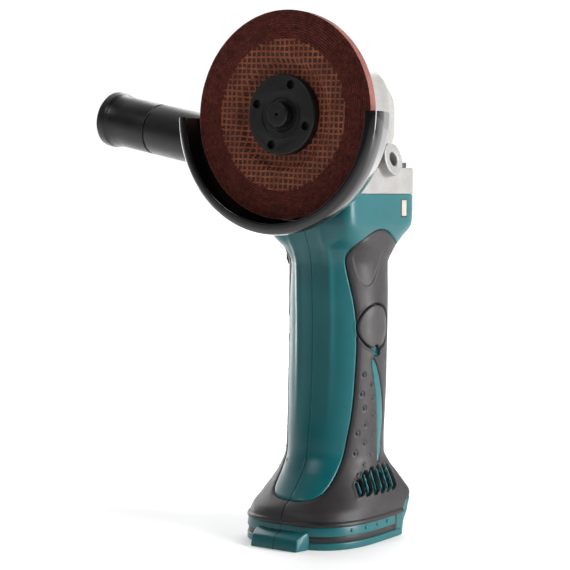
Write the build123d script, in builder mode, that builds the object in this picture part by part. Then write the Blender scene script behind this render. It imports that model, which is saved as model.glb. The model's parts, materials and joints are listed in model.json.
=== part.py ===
from build123d import *
from math import atan2, cos, degrees, pi, radians, sin
import os

# Cordless angle grinder. Millimetres, +Z up. The origin is on the motor axis, in the
# plane of the foot. The wheel faces -Y and the side handle points to -X.

# ---- head -------------------------------------------------------------------------
HEAD_Z = 240.75            # height of the spindle axis
WHEEL_D = 115.0
WHEEL_T = 6.0
WHEEL_BORE_D = 22.23
HUB_DEPTH = 4.5            # how far the wheel's hub is set back from its rim
HUB_R = 27.0
RIM_Y = -58.0              # front face of the wheel's rim
SPINDLE_R = 7.0            # M14
SPINDLE_NOSE = 9.6         # spindle end in front of the wheel's hub
JOURNAL_R = 6.0
TAIL_R = 4.0
NUT_R = 22.4
NUT_T = 5.4
WRENCH_PCD = 35.0
WRENCH_HOLE_R = 2.5
WRENCH_ANGLE = 68.5
FLANGE_R = 21.0
FLANGE_T = 6.5
SHOULDER_R = 8.5
SHOULDER_T = 4.0
SPINDLE_BEARING = (12.0, 32.0, 10.0)   # bore, outside diameter, width
MOTOR_BEARING = (8.0, 22.0, 7.0)
FIT = 0.05                 # radial gap of a fit
NECK_R = 21.0              # neck of the bearing box, which the guard turns on
NECK_L = 9.5
BOX_FLANGE_T = 7.5
BOX_FLANGE_W = 55.0
SPIGOT_R = 24.0
SPIGOT_L = 4.0

# ---- guard ------------------------------------------------------------------------
GUARD_R = 66.5             # outside, at its front edge
GUARD_BACK_R = 60.5
GUARD_LIP_R = 59.8
GUARD_FRONT_Y = -68.0
GUARD_WALL = 1.8
GUARD_GAP = 0.8            # between the inner flange and the guard's back plate
BAND_T = 1.8
EARS_UP = -90.0            # turns the band's ears from +X to the top

# ---- gear pair: both cones share the point where the two axes cross ---------------
RING_TEETH = 37
PINION_TEETH = 10
RING_PITCH_R = 22.0
TOOTH_LENGTH = 7.2
ADDENDUM = 0.8
DEDENDUM = 1.3
TOOTH_EDGE = 0.3           # how far the blank runs past each end of the teeth
RING_TOOTH_W = 1.5
PINION_TOOTH_W = 1.2

# ---- housing ----------------------------------------------------------------------
VENTS = 6                  # slots in each cheek
VENT_L = 13.0
VENT_W = 2.4
VENT_PITCH = 4.6
VENT_LEAN = 12.0           # degrees off upright
BLOCK_W = 62.0
BLOCK_FRONT = -36.5
BLOCK_BACK = 37.4
BLOCK_BOTTOM = 181.0
BLOCK_TOP = 197.2
HEAD_FLANGE_T = 15.6
HEAD_HALF_W = 28.5
HEAD_HALF_H = 31.0
HEAD_BACK = 30.0
HANDLE_TILT = 11.6         # degrees above level
HANDLE_Y = 2.0
BOSS_REACH = 36.95         # along the handle's axis, from the middle plane
BOSS_R = 9.5
BOSS_ROOT_Z = 210.0
STUD_R = 4.0               # M8
STUD_DEPTH = 15.0
SKIN = 1.8                 # thickness of the rubber
WALL = 2.3                 # thickness of the plastic under it
GRIP_R = 28.5
FOOT_HALF_W = 38.3
NOSE_FRONT = -65.5         # block at the front of the foot, where the battery's catch meets it
NOSE_W = 34.0
NOSE_L = 19.0
NOSE_H = 10.0
FOOT_TOP = 15.5
SEAM = 0.1                 # gap between the two halves

# ---- side handle ------------------------------------------------------------------
HANDLE_R = 16.0
HANDLE_L = 142.0
HANDLE_END_R = 17.65
HANDLE_END_L = 8.0
HANDLE_GROOVE = 102.5

# ---- motor ------------------------------------------------------------------------
SHAFT_R = 4.0
CORE_R = 16.0
CORE_Z = (133.0, 171.0)
YOKE_R = 22.8
YOKE_T = 1.8
MAGNET_T = 4.0
FAN_R = 22.0
FAN_Z = (179.0, 189.0)
BRUSH_Z = 121.5
COMMUTATOR_R = 9.0
LOWER_BEARING_Z = 98.0
UPPER_BEARING_Z = 203.8
COVER_R = 12.6
COVER_T = 2.2
COVER_Y = -3.0

# ---- switch and foot --------------------------------------------------------------
KNOB_Z = 163.0
KNOB_TRAVEL = 7.0
SWITCH_Z = 72.0
BAY_HALF_W = 27.0
BAY_DEPTH = 9.0
RAIL = 3.0

TERMINAL_W = 30.0
TERMINAL_L = 28.0

# ---- fasteners and small parts ----------------------------------------------------
SCREW_X = 24.5
SCREW_Y = 28.0
SCREW_R = 2.3
SCREW_HEAD_R = 3.8
SCREW_HEAD_T = 3.0
BOX_SCREWS = 35.0
SEAL_T = 4.5
GEAR_HUB = 10.0
LOCK_PIN_R = 2.5
LOCK_BUTTON_R = 6.0
LOCK_POCKET = 8.0
LOCK_TRAVEL = 3.5
PINION_HUB_R = 7.0
WRENCH_HOLE_DEPTH = 3.5
BRUSH_OUT = 22.6           # outer end of the brush holders
COMMUTATOR_LOW = 108.0
BLADE_X = 8.0
BLADE_T = 1.2
SCREW_SEAT = 14.0
SHELL_SCREWS = [(14, 92), (-26, 42), (14, 42), (-46, 12.4)]   # y and z of each

# ---- values worked out from those above -------------------------------------------
HUB_FRONT = RIM_Y + HUB_DEPTH
HUB_BACK = HUB_FRONT + WHEEL_T
FLANGE_BACK = HUB_BACK + FLANGE_T
SHOULDER_BACK = FLANGE_BACK + SHOULDER_T
BEARING_Y = SHOULDER_BACK
NECK_FRONT = FLANGE_BACK + GUARD_GAP
NECK_BACK = NECK_FRONT + NECK_L
BOX_BACK = NECK_BACK + BOX_FLANGE_T
PITCH_ANGLE = degrees(atan2(PINION_TEETH, RING_TEETH))
CONE = RING_PITCH_R / cos(radians(PITCH_ANGLE))
CONE_IN = CONE - TOOTH_LENGTH
HEAD_FLOOR = BLOCK_TOP + HEAD_FLANGE_T
LOCK_Z = HEAD_Z + 12.0
GEAR_BACK = -18.5

APEX = (0, 0, HEAD_Z)
TURN = Plane(origin=APEX, x_dir=(0, 1, 0), z_dir=(1, 0, 0))   # local x runs along the spindle
SPINDLE_AXIS = Axis(APEX, (0, 1, 0))


def handle_plane(side, reach):
    """A plane square to the side handle's axis, at a distance from the middle plane."""
    tilt = radians(HANDLE_TILT)
    along = (side * cos(tilt), 0, sin(tilt))
    origin = (side * reach * cos(tilt), HANDLE_Y, BOSS_ROOT_Z + reach * sin(tilt))
    return Plane(origin=origin, x_dir=(0, 1, 0), z_dir=along)


def turned(profile, about="spindle"):
    """A solid of revolution. Points are (along the spindle, radius) or (radius, height)."""
    plane = TURN if about == "spindle" else Plane.XZ
    axis = SPINDLE_AXIS if about == "spindle" else Axis.Z
    with BuildPart() as solid:
        with BuildSketch(plane):
            with BuildLine():
                Polyline(*profile, close=True)
            make_face()
        revolve(axis=axis)
    return solid.part


def ring(y0, y1, inner, outer):
    return turned([(y0, inner), (y1, inner), (y1, outer), (y0, outer)])


def collar(z0, z1, inner, outer):
    return turned([(inner, z0), (outer, z0), (outer, z1), (inner, z1)], "motor")


# ---- grip surface -----------------------------------------------------------------
# Each station: height, half width, front y, back y, corner radius.
STATIONS = [
    (0.0, FOOT_HALF_W, -57.0, 12.0, 14.0),
    (FOOT_TOP, FOOT_HALF_W, -57.2, 19.0, 14.0),
    (21.0, 38.0, -53.8, 21.0, 15.0),
    (28.0, 35.0, -46.8, 21.5, 18.0),
    (36.0, 31.2, -39.4, 22.4, 22.0),
    (46.0, 28.2, -33.0, 24.6, 24.0),
    (62.0, 27.7, -30.2, 25.6, 25.0),
    (90.0, 28.6, -27.6, 25.8, 25.0),
    (120.0, GRIP_R, -26.8, 27.0, 25.0),
    (145.0, GRIP_R, -27.8, 28.0, 25.5),
    (160.0, 28.8, -29.4, 29.2, 24.0),
    (171.0, 30.2, -32.8, 33.4, 16.0),
    (BLOCK_BOTTOM, BLOCK_W / 2, BLOCK_FRONT, BLOCK_BACK, 7.0),
    (BLOCK_TOP, BLOCK_W / 2, BLOCK_FRONT, BLOCK_BACK, 7.0),
]


def grip_body(inset, lowest=0.0):
    """The grip's outer surface, drawn in by an inset, as one solid."""
    with BuildPart() as body:
        for z, half, front, back, corner in STATIONS:
            if z >= lowest:
                with BuildSketch(Plane.XY.offset(z)):
                    with Locations((0, (front + back) / 2)):
                        width = 2 * (half - inset)
                        depth = back - front - 2 * inset
                        RectangleRounded(width, depth, corner - min(inset, 0.6 * corner))
        loft(ruled=True)
    return body.part


def rubber_region():
    """Side view of the rubber: everything behind the front tongue and under its round end."""
    with BuildPart() as region:
        with BuildSketch(Plane.YZ.offset(-60)):
            with BuildLine():
                Line((80, 172), (18, 172))
                Spline((18, 172), (2, 169), (-9, 157), (-8, 148))
                Spline((-8, 148), (-2, 110), (-6, 70), (-16, 42), (-30, 28), (-70, 24))
                Polyline((-70, 24), (-70, FOOT_TOP), (80, FOOT_TOP), (80, 172))
            make_face()
        extrude(amount=120)
    return region.part


def cover_hole(side, radius, start, length):
    with BuildPart() as hole:
        with BuildSketch(Plane(origin=(side * start, COVER_Y, BRUSH_Z), z_dir=(side, 0, 0))):
            Circle(radius)
        extrude(amount=length)
    return hole.part


def vent_slots():
    """Six slanted slots through each cheek above the foot."""
    with BuildPart() as slots:
        for side in (1, -1):
            for k in range(VENTS):
                at = Plane(origin=(side * 18, -14 + VENT_PITCH * k, 35.5 + 0.5 * k), z_dir=(side, 0, 0))
                with BuildSketch(at):
                    SlotOverall(VENT_L, VENT_W, rotation=90 - side * VENT_LEAN)
                extrude(amount=30)
    return slots.part


def half_space(side):
    """The box that holds one half of the grip."""
    with BuildPart() as space:
        with Locations((side * (50 + SEAM / 2), 0, 100)):
            Box(100, 200, 260)
    return space.part


OUTER = grip_body(0)
CORE = grip_body(SKIN)
REGION = rubber_region()
RUBBER = (OUTER & REGION) - CORE
PLASTIC = (OUTER - REGION) + CORE - grip_body(SKIN + WALL, FOOT_TOP)


def knob_window():
    """The slot in the left half that the slide knob runs in."""
    with BuildPart() as window:
        with Locations((-28, -2, KNOB_Z + KNOB_TRAVEL / 2)):
            Box(16, 13, 17 + KNOB_TRAVEL)
    return window.part


def screw_bosses(side):
    """Posts inside the shell that the screws pull together."""
    with BuildPart() as posts:
        for y, z in SHELL_SCREWS:
            with BuildSketch(Plane(origin=(side * SEAM / 2, y, z), z_dir=(side, 0, 0))):
                Circle(3.9)
            extrude(amount=24)
    return CORE & posts.part


def screw_holes(side):
    """Clearance in the left half, with a counterbore for each head, and a blind hole in the right."""
    with BuildPart() as holes:
        for y, z in SHELL_SCREWS:
            with BuildSketch(Plane(origin=(0, y, z), z_dir=(side, 0, 0))):
                Circle(1.7 + FIT)
            extrude(amount=SCREW_SEAT if side < 0 else 9.5)
            if side < 0:
                with BuildSketch(Plane(origin=(-SCREW_SEAT, y, z), z_dir=(-1, 0, 0))):
                    Circle(3.7)
                extrude(amount=30)
    return holes.part


def grip_shell(side):
    """One half of the clamshell, with its foot, rails and vents."""
    with BuildPart() as shell:
        add(PLASTIC)
        with Locations((0, NOSE_FRONT + NOSE_L / 2, NOSE_H / 2)):
            Box(NOSE_W, NOSE_L, NOSE_H)
        with Locations((0, -8, BAY_DEPTH / 2)):
            Box(2 * BAY_HALF_W, 84, BAY_DEPTH, mode=Mode.SUBTRACT)
        for x in (-BAY_HALF_W + RAIL / 2, BAY_HALF_W - RAIL / 2):
            with Locations((x, -14, 1.25)):
                Box(RAIL, 50, 2.5)
        with Locations((0, -16, 14)):
            Box(TERMINAL_W + 1, TERMINAL_L + 1, 14, mode=Mode.SUBTRACT)
        add(cover_hole(side, COVER_R + 0.4, 12, 40), mode=Mode.SUBTRACT)
        if side < 0:
            add(knob_window(), mode=Mode.SUBTRACT)
        add(half_space(side), mode=Mode.INTERSECT)
        add(vent_slots(), mode=Mode.SUBTRACT)
        add(screw_bosses(side))
        add(screw_holes(side), mode=Mode.SUBTRACT)
    return shell.part


def rubber_grip(side):
    with BuildPart() as rubber:
        add(RUBBER)
        add(cover_hole(side, COVER_R + 0.4, 12, 40), mode=Mode.SUBTRACT)
        if side < 0:
            add(knob_window(), mode=Mode.SUBTRACT)
            add(screw_holes(side), mode=Mode.SUBTRACT)
        add(half_space(side), mode=Mode.INTERSECT)
        add(vent_slots(), mode=Mode.SUBTRACT)
    return rubber.part


# ---- head -------------------------------------------------------------------------
def gear_housing():
    """Cast head: flange, barrel for the gears, boss on each side for the side handle."""
    with BuildPart() as housing:
        middle = (BLOCK_FRONT + BLOCK_BACK) / 2
        with Locations((0, middle, BLOCK_TOP + HEAD_FLANGE_T / 2)):
            Box(BLOCK_W, BLOCK_BACK - BLOCK_FRONT, HEAD_FLANGE_T)
        fillet(housing.edges().filter_by(Axis.Z), 7)
        front = BOX_BACK
        with BuildSketch(Plane.XZ.offset(-front)):
            with Locations((0, HEAD_Z)):
                RectangleRounded(2 * HEAD_HALF_W, 2 * HEAD_HALF_H, 20)
        with BuildSketch(Plane.XZ.offset(-8)):
            with Locations((0, HEAD_Z)):
                RectangleRounded(2 * HEAD_HALF_W, 2 * HEAD_HALF_H, 20)
        with BuildSketch(Plane.XZ.offset(-HEAD_BACK)):
            with Locations((0, HEAD_Z)):
                RectangleRounded(2 * HEAD_HALF_W - 18, 2 * HEAD_HALF_H - 16, 16)
        loft(ruled=True)
        for side in (1, -1):
            with BuildSketch(handle_plane(side, 12)):
                Circle(BOSS_R)
            extrude(amount=BOSS_REACH - 12)
        for side in (1, -1):
            with BuildSketch(handle_plane(side, BOSS_REACH)):
                Circle(STUD_R)
            extrude(amount=-STUD_DEPTH - 1, mode=Mode.SUBTRACT)
        with BuildSketch(Plane.XZ.offset(-front)):
            with Locations((0, HEAD_Z)):
                Circle(SPIGOT_R + FIT)
        extrude(amount=-(10 - front), mode=Mode.SUBTRACT)
        with BuildSketch(Plane.XZ.offset(-9)):
            with Locations((0, HEAD_Z)):
                Circle(TAIL_R + 3 + FIT)
        extrude(amount=-12, mode=Mode.SUBTRACT)
        with BuildSketch(Plane.XZ.offset(-9)):
            with Locations((0, LOCK_Z)):
                Circle(LOCK_PIN_R + 0.1)
        extrude(amount=-40, mode=Mode.SUBTRACT)
        with BuildSketch(Plane.XZ.offset(-(HEAD_BACK - LOCK_POCKET))):
            with Locations((0, LOCK_Z)):
                Circle(LOCK_BUTTON_R + 0.3)
        extrude(amount=-20, mode=Mode.SUBTRACT)
        with BuildSketch(Plane.XY.offset(UPPER_BEARING_Z)):
            Circle(MOTOR_BEARING[1] / 2 + FIT)
        extrude(amount=HEAD_Z - UPPER_BEARING_Z - 10, mode=Mode.SUBTRACT)
        with BuildSketch(Plane.XY.offset(BLOCK_TOP)):
            Circle(FAN_R + 2)
        extrude(amount=UPPER_BEARING_Z - BLOCK_TOP - 2.6, mode=Mode.SUBTRACT)
        with BuildSketch(Plane.XY.offset(BLOCK_TOP)):
            Circle(MOTOR_BEARING[1] / 2 - 1)
        extrude(amount=20, mode=Mode.SUBTRACT)
        with BuildSketch(Plane.XY.offset(BLOCK_TOP)):
            with GridLocations(2 * SCREW_X, 2 * SCREW_Y, 2, 2):
                Circle(SCREW_R + 0.2)
        extrude(amount=HEAD_FLANGE_T, mode=Mode.SUBTRACT)
    return housing.part


def bearing_box():
    """Front cover of the head. It holds the spindle's bearing, and the guard turns on its neck."""
    inner = SPINDLE_BEARING[1] / 2 + FIT
    seal = SHOULDER_R + SEAL_T
    shape = turned([
        (NECK_FRONT, seal + 0.2), (NECK_FRONT, NECK_R), (NECK_BACK, NECK_R),
        (NECK_BACK, BOX_FLANGE_W / 2), (BOX_BACK, BOX_FLANGE_W / 2), (BOX_BACK, SPIGOT_R),
        (BOX_BACK + SPIGOT_L, SPIGOT_R), (BOX_BACK + SPIGOT_L, inner + 4),
        (BEARING_Y + SPINDLE_BEARING[2], inner), (BEARING_Y, inner), (BEARING_Y, seal + 0.2),
    ])
    with BuildPart() as box:
        add(shape)
        with BuildSketch(Plane.XZ.offset(-NECK_BACK)):
            with Locations((0, HEAD_Z)):
                with GridLocations(BOX_SCREWS, BOX_SCREWS, 2, 2):
                    Circle(2.1)
        extrude(amount=-BOX_FLANGE_T, mode=Mode.SUBTRACT)
    return box.part


def bearing_box_screws():
    with BuildPart() as screws:
        with BuildSketch(Plane.XZ.offset(-NECK_BACK)):
            with Locations((0, HEAD_Z)):
                with GridLocations(BOX_SCREWS, BOX_SCREWS, 2, 2):
                    Circle(1.95)
        extrude(amount=-BOX_FLANGE_T)
        with BuildSketch(Plane.XZ.offset(-NECK_BACK)):
            with Locations((0, HEAD_Z)):
                with GridLocations(BOX_SCREWS, BOX_SCREWS, 2, 2):
                    Circle(3.0)
        extrude(amount=1.6)
        with BuildSketch(Plane.XZ.offset(-NECK_BACK + 1.6)):
            with Locations((0, HEAD_Z)):
                with GridLocations(BOX_SCREWS, BOX_SCREWS, 2, 2):
                    Rectangle(4.4, 0.8)
        extrude(amount=-0.8, mode=Mode.SUBTRACT)
    return screws.part


def gear_housing_screws():
    """Four cap screws through the corners of the flange, with a hexagon socket."""
    with BuildPart() as screws:
        with BuildSketch(Plane.XY.offset(BLOCK_TOP)):
            with GridLocations(2 * SCREW_X, 2 * SCREW_Y, 2, 2):
                Circle(SCREW_R)
        extrude(amount=HEAD_FLANGE_T)
        with BuildSketch(Plane.XY.offset(HEAD_FLOOR)):
            with GridLocations(2 * SCREW_X, 2 * SCREW_Y, 2, 2):
                Circle(SCREW_HEAD_R)
        extrude(amount=SCREW_HEAD_T)
        with BuildSketch(Plane.XY.offset(HEAD_FLOOR + SCREW_HEAD_T)):
            with GridLocations(2 * SCREW_X, 2 * SCREW_Y, 2, 2):
                RegularPolygon(1.8, 6)
        extrude(amount=-1.4, mode=Mode.SUBTRACT)
    return screws.part


# ---- bearings ---------------------------------------------------------------------
def bearing_rings(size, start, about):
    """Outer ring, inner ring and balls of a ball bearing. The balls ride with the outer ring."""
    bore, outside, width = size
    middle_r = (bore + outside) / 4
    ball_r = (outside - bore) / 9
    make = ring if about == "spindle" else collar
    outer = make(start, start + width, middle_r + 0.6 * ball_r, outside / 2)
    inner = make(start, start + width, bore / 2 + FIT, middle_r - 0.6 * ball_r)
    centre = start + width / 2
    axis = SPINDLE_AXIS if about == "spindle" else Axis.Z
    profile = [(centre, HEAD_Z + middle_r)] if about == "spindle" else [(middle_r, centre)]
    with BuildPart() as groove:
        with BuildSketch(Plane.YZ if about == "spindle" else Plane.XZ):
            with Locations(*profile):
                Circle(ball_r + 0.06)
        revolve(axis=axis)
    with BuildPart() as balls:
        for k in range(8):
            turn = 2 * pi * k / 8
            if about == "spindle":
                spot = (middle_r * cos(turn), centre, HEAD_Z + middle_r * sin(turn))
            else:
                spot = (middle_r * cos(turn), middle_r * sin(turn), centre)
            with Locations(spot):
                Sphere(ball_r)
    return outer - groove.part, inner - groove.part, balls.part


# ---- spindle ----------------------------------------------------------------------
def spindle():
    nose = HUB_FRONT - SPINDLE_NOSE
    shape = turned([
        (nose, 0), (nose, SPINDLE_R - 0.8), (nose + 0.8, SPINDLE_R), (FLANGE_BACK, SPINDLE_R),
        (FLANGE_BACK, SHOULDER_R), (SHOULDER_BACK, SHOULDER_R), (SHOULDER_BACK, JOURNAL_R),
        (GEAR_BACK + GEAR_HUB, JOURNAL_R), (GEAR_BACK + GEAR_HUB, TAIL_R),
        (20.0, TAIL_R), (20.0, 0),
    ])
    with BuildPart() as shaft:
        add(shape)
        with BuildSketch(Plane.XZ.offset(-nose)):
            with Locations((0, HEAD_Z)):
                Circle(1.0)
        extrude(amount=-3, mode=Mode.SUBTRACT)
    return shaft.part


def inner_flange():
    """Drives the wheel. Its pilot centres the wheel's bore."""
    bore = SPINDLE_R + FIT
    pilot = WHEEL_BORE_D / 2 - FIT
    return turned([
        (HUB_BACK - WHEEL_T + 1, bore), (HUB_BACK - WHEEL_T + 1, pilot), (HUB_BACK, pilot),
        (HUB_BACK, FLANGE_R - 5), (HUB_BACK, FLANGE_R), (FLANGE_BACK, FLANGE_R - 2),
        (FLANGE_BACK, bore),
    ])


def grinding_wheel():
    """Depressed-centre wheel: a flat ring with its hub set back."""
    bore = WHEEL_BORE_D / 2
    rim = WHEEL_D / 2
    slope = HUB_R + 5
    return turned([
        (HUB_FRONT, bore), (HUB_FRONT, HUB_R), (RIM_Y, slope), (RIM_Y, rim),
        (RIM_Y + WHEEL_T, rim), (RIM_Y + WHEEL_T, slope), (HUB_BACK, HUB_R), (HUB_BACK, bore),
    ])


def lock_nut():
    front = HUB_FRONT - NUT_T
    shape = turned([
        (front + 1.4, SPINDLE_R + FIT), (front + 1.4, 9.2), (front + 0.7, 9.6), (front + 0.7, 12.5),
        (front, 12.9), (front, NUT_R - 0.8), (front + 0.8, NUT_R), (HUB_FRONT, NUT_R),
        (HUB_FRONT, SPINDLE_R + FIT),
    ])
    with BuildPart() as nut:
        add(shape)
        with BuildSketch(Plane.XZ.offset(-front)):
            with Locations((0, HEAD_Z)):
                with PolarLocations(WRENCH_PCD / 2, 4, start_angle=WRENCH_ANGLE):
                    Circle(WRENCH_HOLE_R)
        extrude(amount=-WRENCH_HOLE_DEPTH, mode=Mode.SUBTRACT)
    return nut.part


# ---- gears ------------------------------------------------------------------------
def bevel_tooth(width, towards):
    """One straight tooth at the place where the pitch cones touch. Its faces meet at the apex."""
    tilt = radians(PITCH_ANGLE)
    along = (0, -sin(tilt), -cos(tilt))
    slope = 0.36
    with BuildPart() as tooth:
        for reach in (CONE, CONE_IN):
            scale = reach / CONE
            origin = (0, along[1] * reach, HEAD_Z + along[2] * reach)
            with BuildSketch(Plane(origin=origin, x_dir=(-towards, 0, 0), z_dir=along)):
                with BuildLine():
                    Polyline(
                        (-scale * (width / 2 + slope * DEDENDUM * 0.6), -scale * (DEDENDUM + 0.3)),
                        (scale * (width / 2 + slope * DEDENDUM * 0.6), -scale * (DEDENDUM + 0.3)),
                        (scale * width / 2, 0),
                        (scale * (width / 2 - slope * ADDENDUM), scale * ADDENDUM),
                        (-scale * (width / 2 - slope * ADDENDUM), scale * ADDENDUM),
                        (-scale * width / 2, 0),
                        close=True,
                    )
                make_face()
        loft(ruled=True)
    return tooth.part


def cone_root(reach, side):
    """(along the gear's own axis from the apex, radius) of the foot of the teeth."""
    pitch = radians(90 - PITCH_ANGLE) if side == "ring" else radians(PITCH_ANGLE)
    sink = DEDENDUM * reach / CONE
    return (reach * cos(pitch) + sink * sin(pitch), reach * sin(pitch) - sink * cos(pitch))


def ring_gear():
    outer_y, outer_r = cone_root(CONE + TOOTH_EDGE, "ring")
    inner_y, inner_r = cone_root(CONE_IN - TOOTH_EDGE, "ring")
    blank = turned([
        (GEAR_BACK, JOURNAL_R + FIT), (GEAR_BACK, 12), (-outer_y - 4, outer_r - 1.5),
        (-outer_y, outer_r), (-inner_y, inner_r), (-inner_y - 1.5, 11),
        (GEAR_BACK + GEAR_HUB, 10), (GEAR_BACK + GEAR_HUB, JOURNAL_R + FIT),
    ])
    tooth = bevel_tooth(RING_TOOTH_W, 1)
    with BuildPart() as gear:
        add(blank)
        for k in range(RING_TEETH):
            add(tooth.rotate(SPINDLE_AXIS, 360 * (k + 0.5) / RING_TEETH))
        with BuildSketch(Plane.XZ.offset(0)):
            with Locations((0, HEAD_Z)):
                with PolarLocations(LOCK_Z - HEAD_Z, 4, start_angle=90):
                    Circle(LOCK_PIN_R + 0.5)
        extrude(amount=30, mode=Mode.SUBTRACT)
    return gear.part


def drive_pinion():
    outer_z, outer_r = cone_root(CONE + TOOTH_EDGE, "pinion")
    inner_z, inner_r = cone_root(CONE_IN - TOOTH_EDGE, "pinion")
    hub_bottom = UPPER_BEARING_Z + MOTOR_BEARING[2]
    blank = turned([
        (0, HEAD_Z - inner_z), (inner_r, HEAD_Z - inner_z), (outer_r, HEAD_Z - outer_z),
        (PINION_HUB_R, HEAD_Z - outer_z - 1), (PINION_HUB_R, hub_bottom),
        (SHAFT_R + FIT, hub_bottom), (SHAFT_R + FIT, HEAD_Z - outer_z - 1.2), (0, HEAD_Z - outer_z - 1.2),
    ], "motor")
    tooth = bevel_tooth(PINION_TOOTH_W, -1)
    with BuildPart() as pinion:
        add(blank)
        for k in range(PINION_TEETH):
            add(tooth.rotate(Axis.Z, 360 * k / PINION_TEETH))
    return pinion.part


# ---- small parts of the head ------------------------------------------------------
def felt_seal():
    return ring(NECK_FRONT + 0.4, SHOULDER_BACK - 0.1, SHOULDER_R + 0.1, SHOULDER_R + SEAL_T)


def needle_bearing():
    return ring(10.2, 20.8, TAIL_R + 0.06, TAIL_R + 3)


def spindle_spacer():
    return ring(BEARING_Y + SPINDLE_BEARING[2], GEAR_BACK, JOURNAL_R + FIT, JOURNAL_R + 2.2)


def gear_clip():
    """Ring that keeps the gear on the spindle."""
    return ring(GEAR_BACK + GEAR_HUB, GEAR_BACK + GEAR_HUB + 1.2, TAIL_R + FIT, JOURNAL_R + 1.5)


def lock_pin():
    tip = GEAR_BACK + 15
    return turned_at_lock([(tip, 0), (tip, LOCK_PIN_R), (HEAD_BACK - 1, LOCK_PIN_R), (HEAD_BACK - 1, 0)])


def lock_button():
    inner = HEAD_BACK - LOCK_POCKET + LOCK_TRAVEL + 1
    return turned_at_lock([
        (inner, LOCK_PIN_R + FIT), (inner, LOCK_BUTTON_R), (HEAD_BACK + 3.4, LOCK_BUTTON_R),
        (HEAD_BACK + 4.4, LOCK_BUTTON_R - 1), (HEAD_BACK + 4.4, 0), (HEAD_BACK - 1, 0),
        (HEAD_BACK - 1, LOCK_PIN_R + FIT),
    ])


def turned_at_lock(profile):
    """A solid of revolution about the spindle lock's own axis."""
    plane = Plane(origin=(0, 0, LOCK_Z), x_dir=(0, 1, 0), z_dir=(1, 0, 0))
    with BuildPart() as solid:
        with BuildSketch(plane):
            with BuildLine():
                Polyline(*profile, close=True)
            make_face()
        revolve(axis=Axis((0, 0, LOCK_Z), (0, 1, 0)))
    return solid.part


def lock_spring():
    """Coil under the button, round the pin."""
    start = HEAD_BACK - LOCK_POCKET + 0.4
    length = LOCK_TRAVEL
    place = Plane(origin=(0, start, LOCK_Z), x_dir=(1, 0, 0), z_dir=(0, 1, 0))
    path = place.location * Helix(pitch=length / 3.2, height=length, radius=LOCK_PIN_R + 1.2)
    with BuildPart() as spring:
        with BuildSketch(Plane(origin=path @ 0, z_dir=path % 0)):
            Circle(0.35)
        sweep(path=path)
    return spring.part


# ---- guard ------------------------------------------------------------------------
def guard_profile():
    """Half section of the guard: collar, back plate, wall and rolled front lip."""
    back = NECK_FRONT - 0.2
    rim = GUARD_R
    return [
        (back + NECK_L - 1.6, NECK_R + 0.08), (back, NECK_R + 0.08), (back - GUARD_WALL, NECK_R + 0.08),
        (back - GUARD_WALL, GUARD_BACK_R - 6), (back - GUARD_WALL - 3, GUARD_BACK_R - 2.4),
        (-60.0, rim - GUARD_WALL), (GUARD_FRONT_Y + 2.2, rim - GUARD_WALL - 0.8),
        (GUARD_FRONT_Y + GUARD_WALL, rim - 4.0), (GUARD_FRONT_Y + GUARD_WALL, GUARD_LIP_R),
        (GUARD_FRONT_Y, GUARD_LIP_R), (GUARD_FRONT_Y, rim - 3.4), (GUARD_FRONT_Y + 1.4, rim - 0.8),
        (-63.0, rim), (-58.0, rim - 0.6), (back - 5, GUARD_BACK_R + 0.8), (back - 1, GUARD_BACK_R - 1.6),
        (back, GUARD_BACK_R - 5), (back, NECK_R + 2.2), (back + NECK_L - 1.6, NECK_R + 2.2),
    ]


def wheel_guard():
    """Half guard. Its collar is a full ring, and the rest covers the lower half."""
    with BuildPart() as guard:
        add(turned(guard_profile()))
        with Locations((0, -55, HEAD_Z + 50)):
            Box(160, 50, 100, mode=Mode.SUBTRACT)
        add(ring(NECK_FRONT - 0.2 - GUARD_WALL, NECK_FRONT + NECK_L - 1.8, NECK_R + 0.08, NECK_R + 2.2))
    return guard.part


def guard_band():
    """Clamp band round the collar, with two ears for its screw."""
    inner = NECK_R + 2.2 + FIT
    outer = inner + BAND_T
    start = NECK_FRONT + 0.3
    stop = NECK_FRONT + NECK_L - 1.8
    with BuildPart() as band:
        add(ring(start, stop, inner, outer))
        with Locations((outer + 3, (start + stop) / 2, HEAD_Z + 4)):
            Box(9, stop - start, 2.4)
        with Locations((outer + 3, (start + stop) / 2, HEAD_Z - 4)):
            Box(9, stop - start, 2.4)
        with Locations((outer, (start + stop) / 2, HEAD_Z)):
            Box(8, stop - start + 2, 5.6, mode=Mode.SUBTRACT)
        with BuildSketch(Plane.XY.offset(HEAD_Z - 10)):
            with Locations((outer + 4.2, (start + stop) / 2)):
                Circle(1.9)
        extrude(amount=20, mode=Mode.SUBTRACT)
    return band.part.rotate(SPINDLE_AXIS, EARS_UP)


def guard_clamp_screw():
    centre = (NECK_R + 2.2 + FIT + BAND_T + 4.2, NECK_FRONT + NECK_L / 2 - 0.75)
    with BuildPart() as screw:
        with BuildSketch(Plane.XY.offset(HEAD_Z - 8.5)):
            with Locations(centre):
                Circle(1.8)
        extrude(amount=13.7)
        with BuildSketch(Plane.XY.offset(HEAD_Z + 5.2)):
            with Locations(centre):
                Circle(3.0)
        extrude(amount=2.6)
        with BuildSketch(Plane.XY.offset(HEAD_Z - 8.0)):
            with Locations(centre):
                RegularPolygon(3.0, 6)
        extrude(amount=2.8)
        with BuildSketch(Plane.XY.offset(HEAD_Z + 7.8)):
            with Locations(centre):
                RegularPolygon(1.5, 6)
        extrude(amount=-1.4, mode=Mode.SUBTRACT)
    return screw.part.rotate(SPINDLE_AXIS, EARS_UP)


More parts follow.
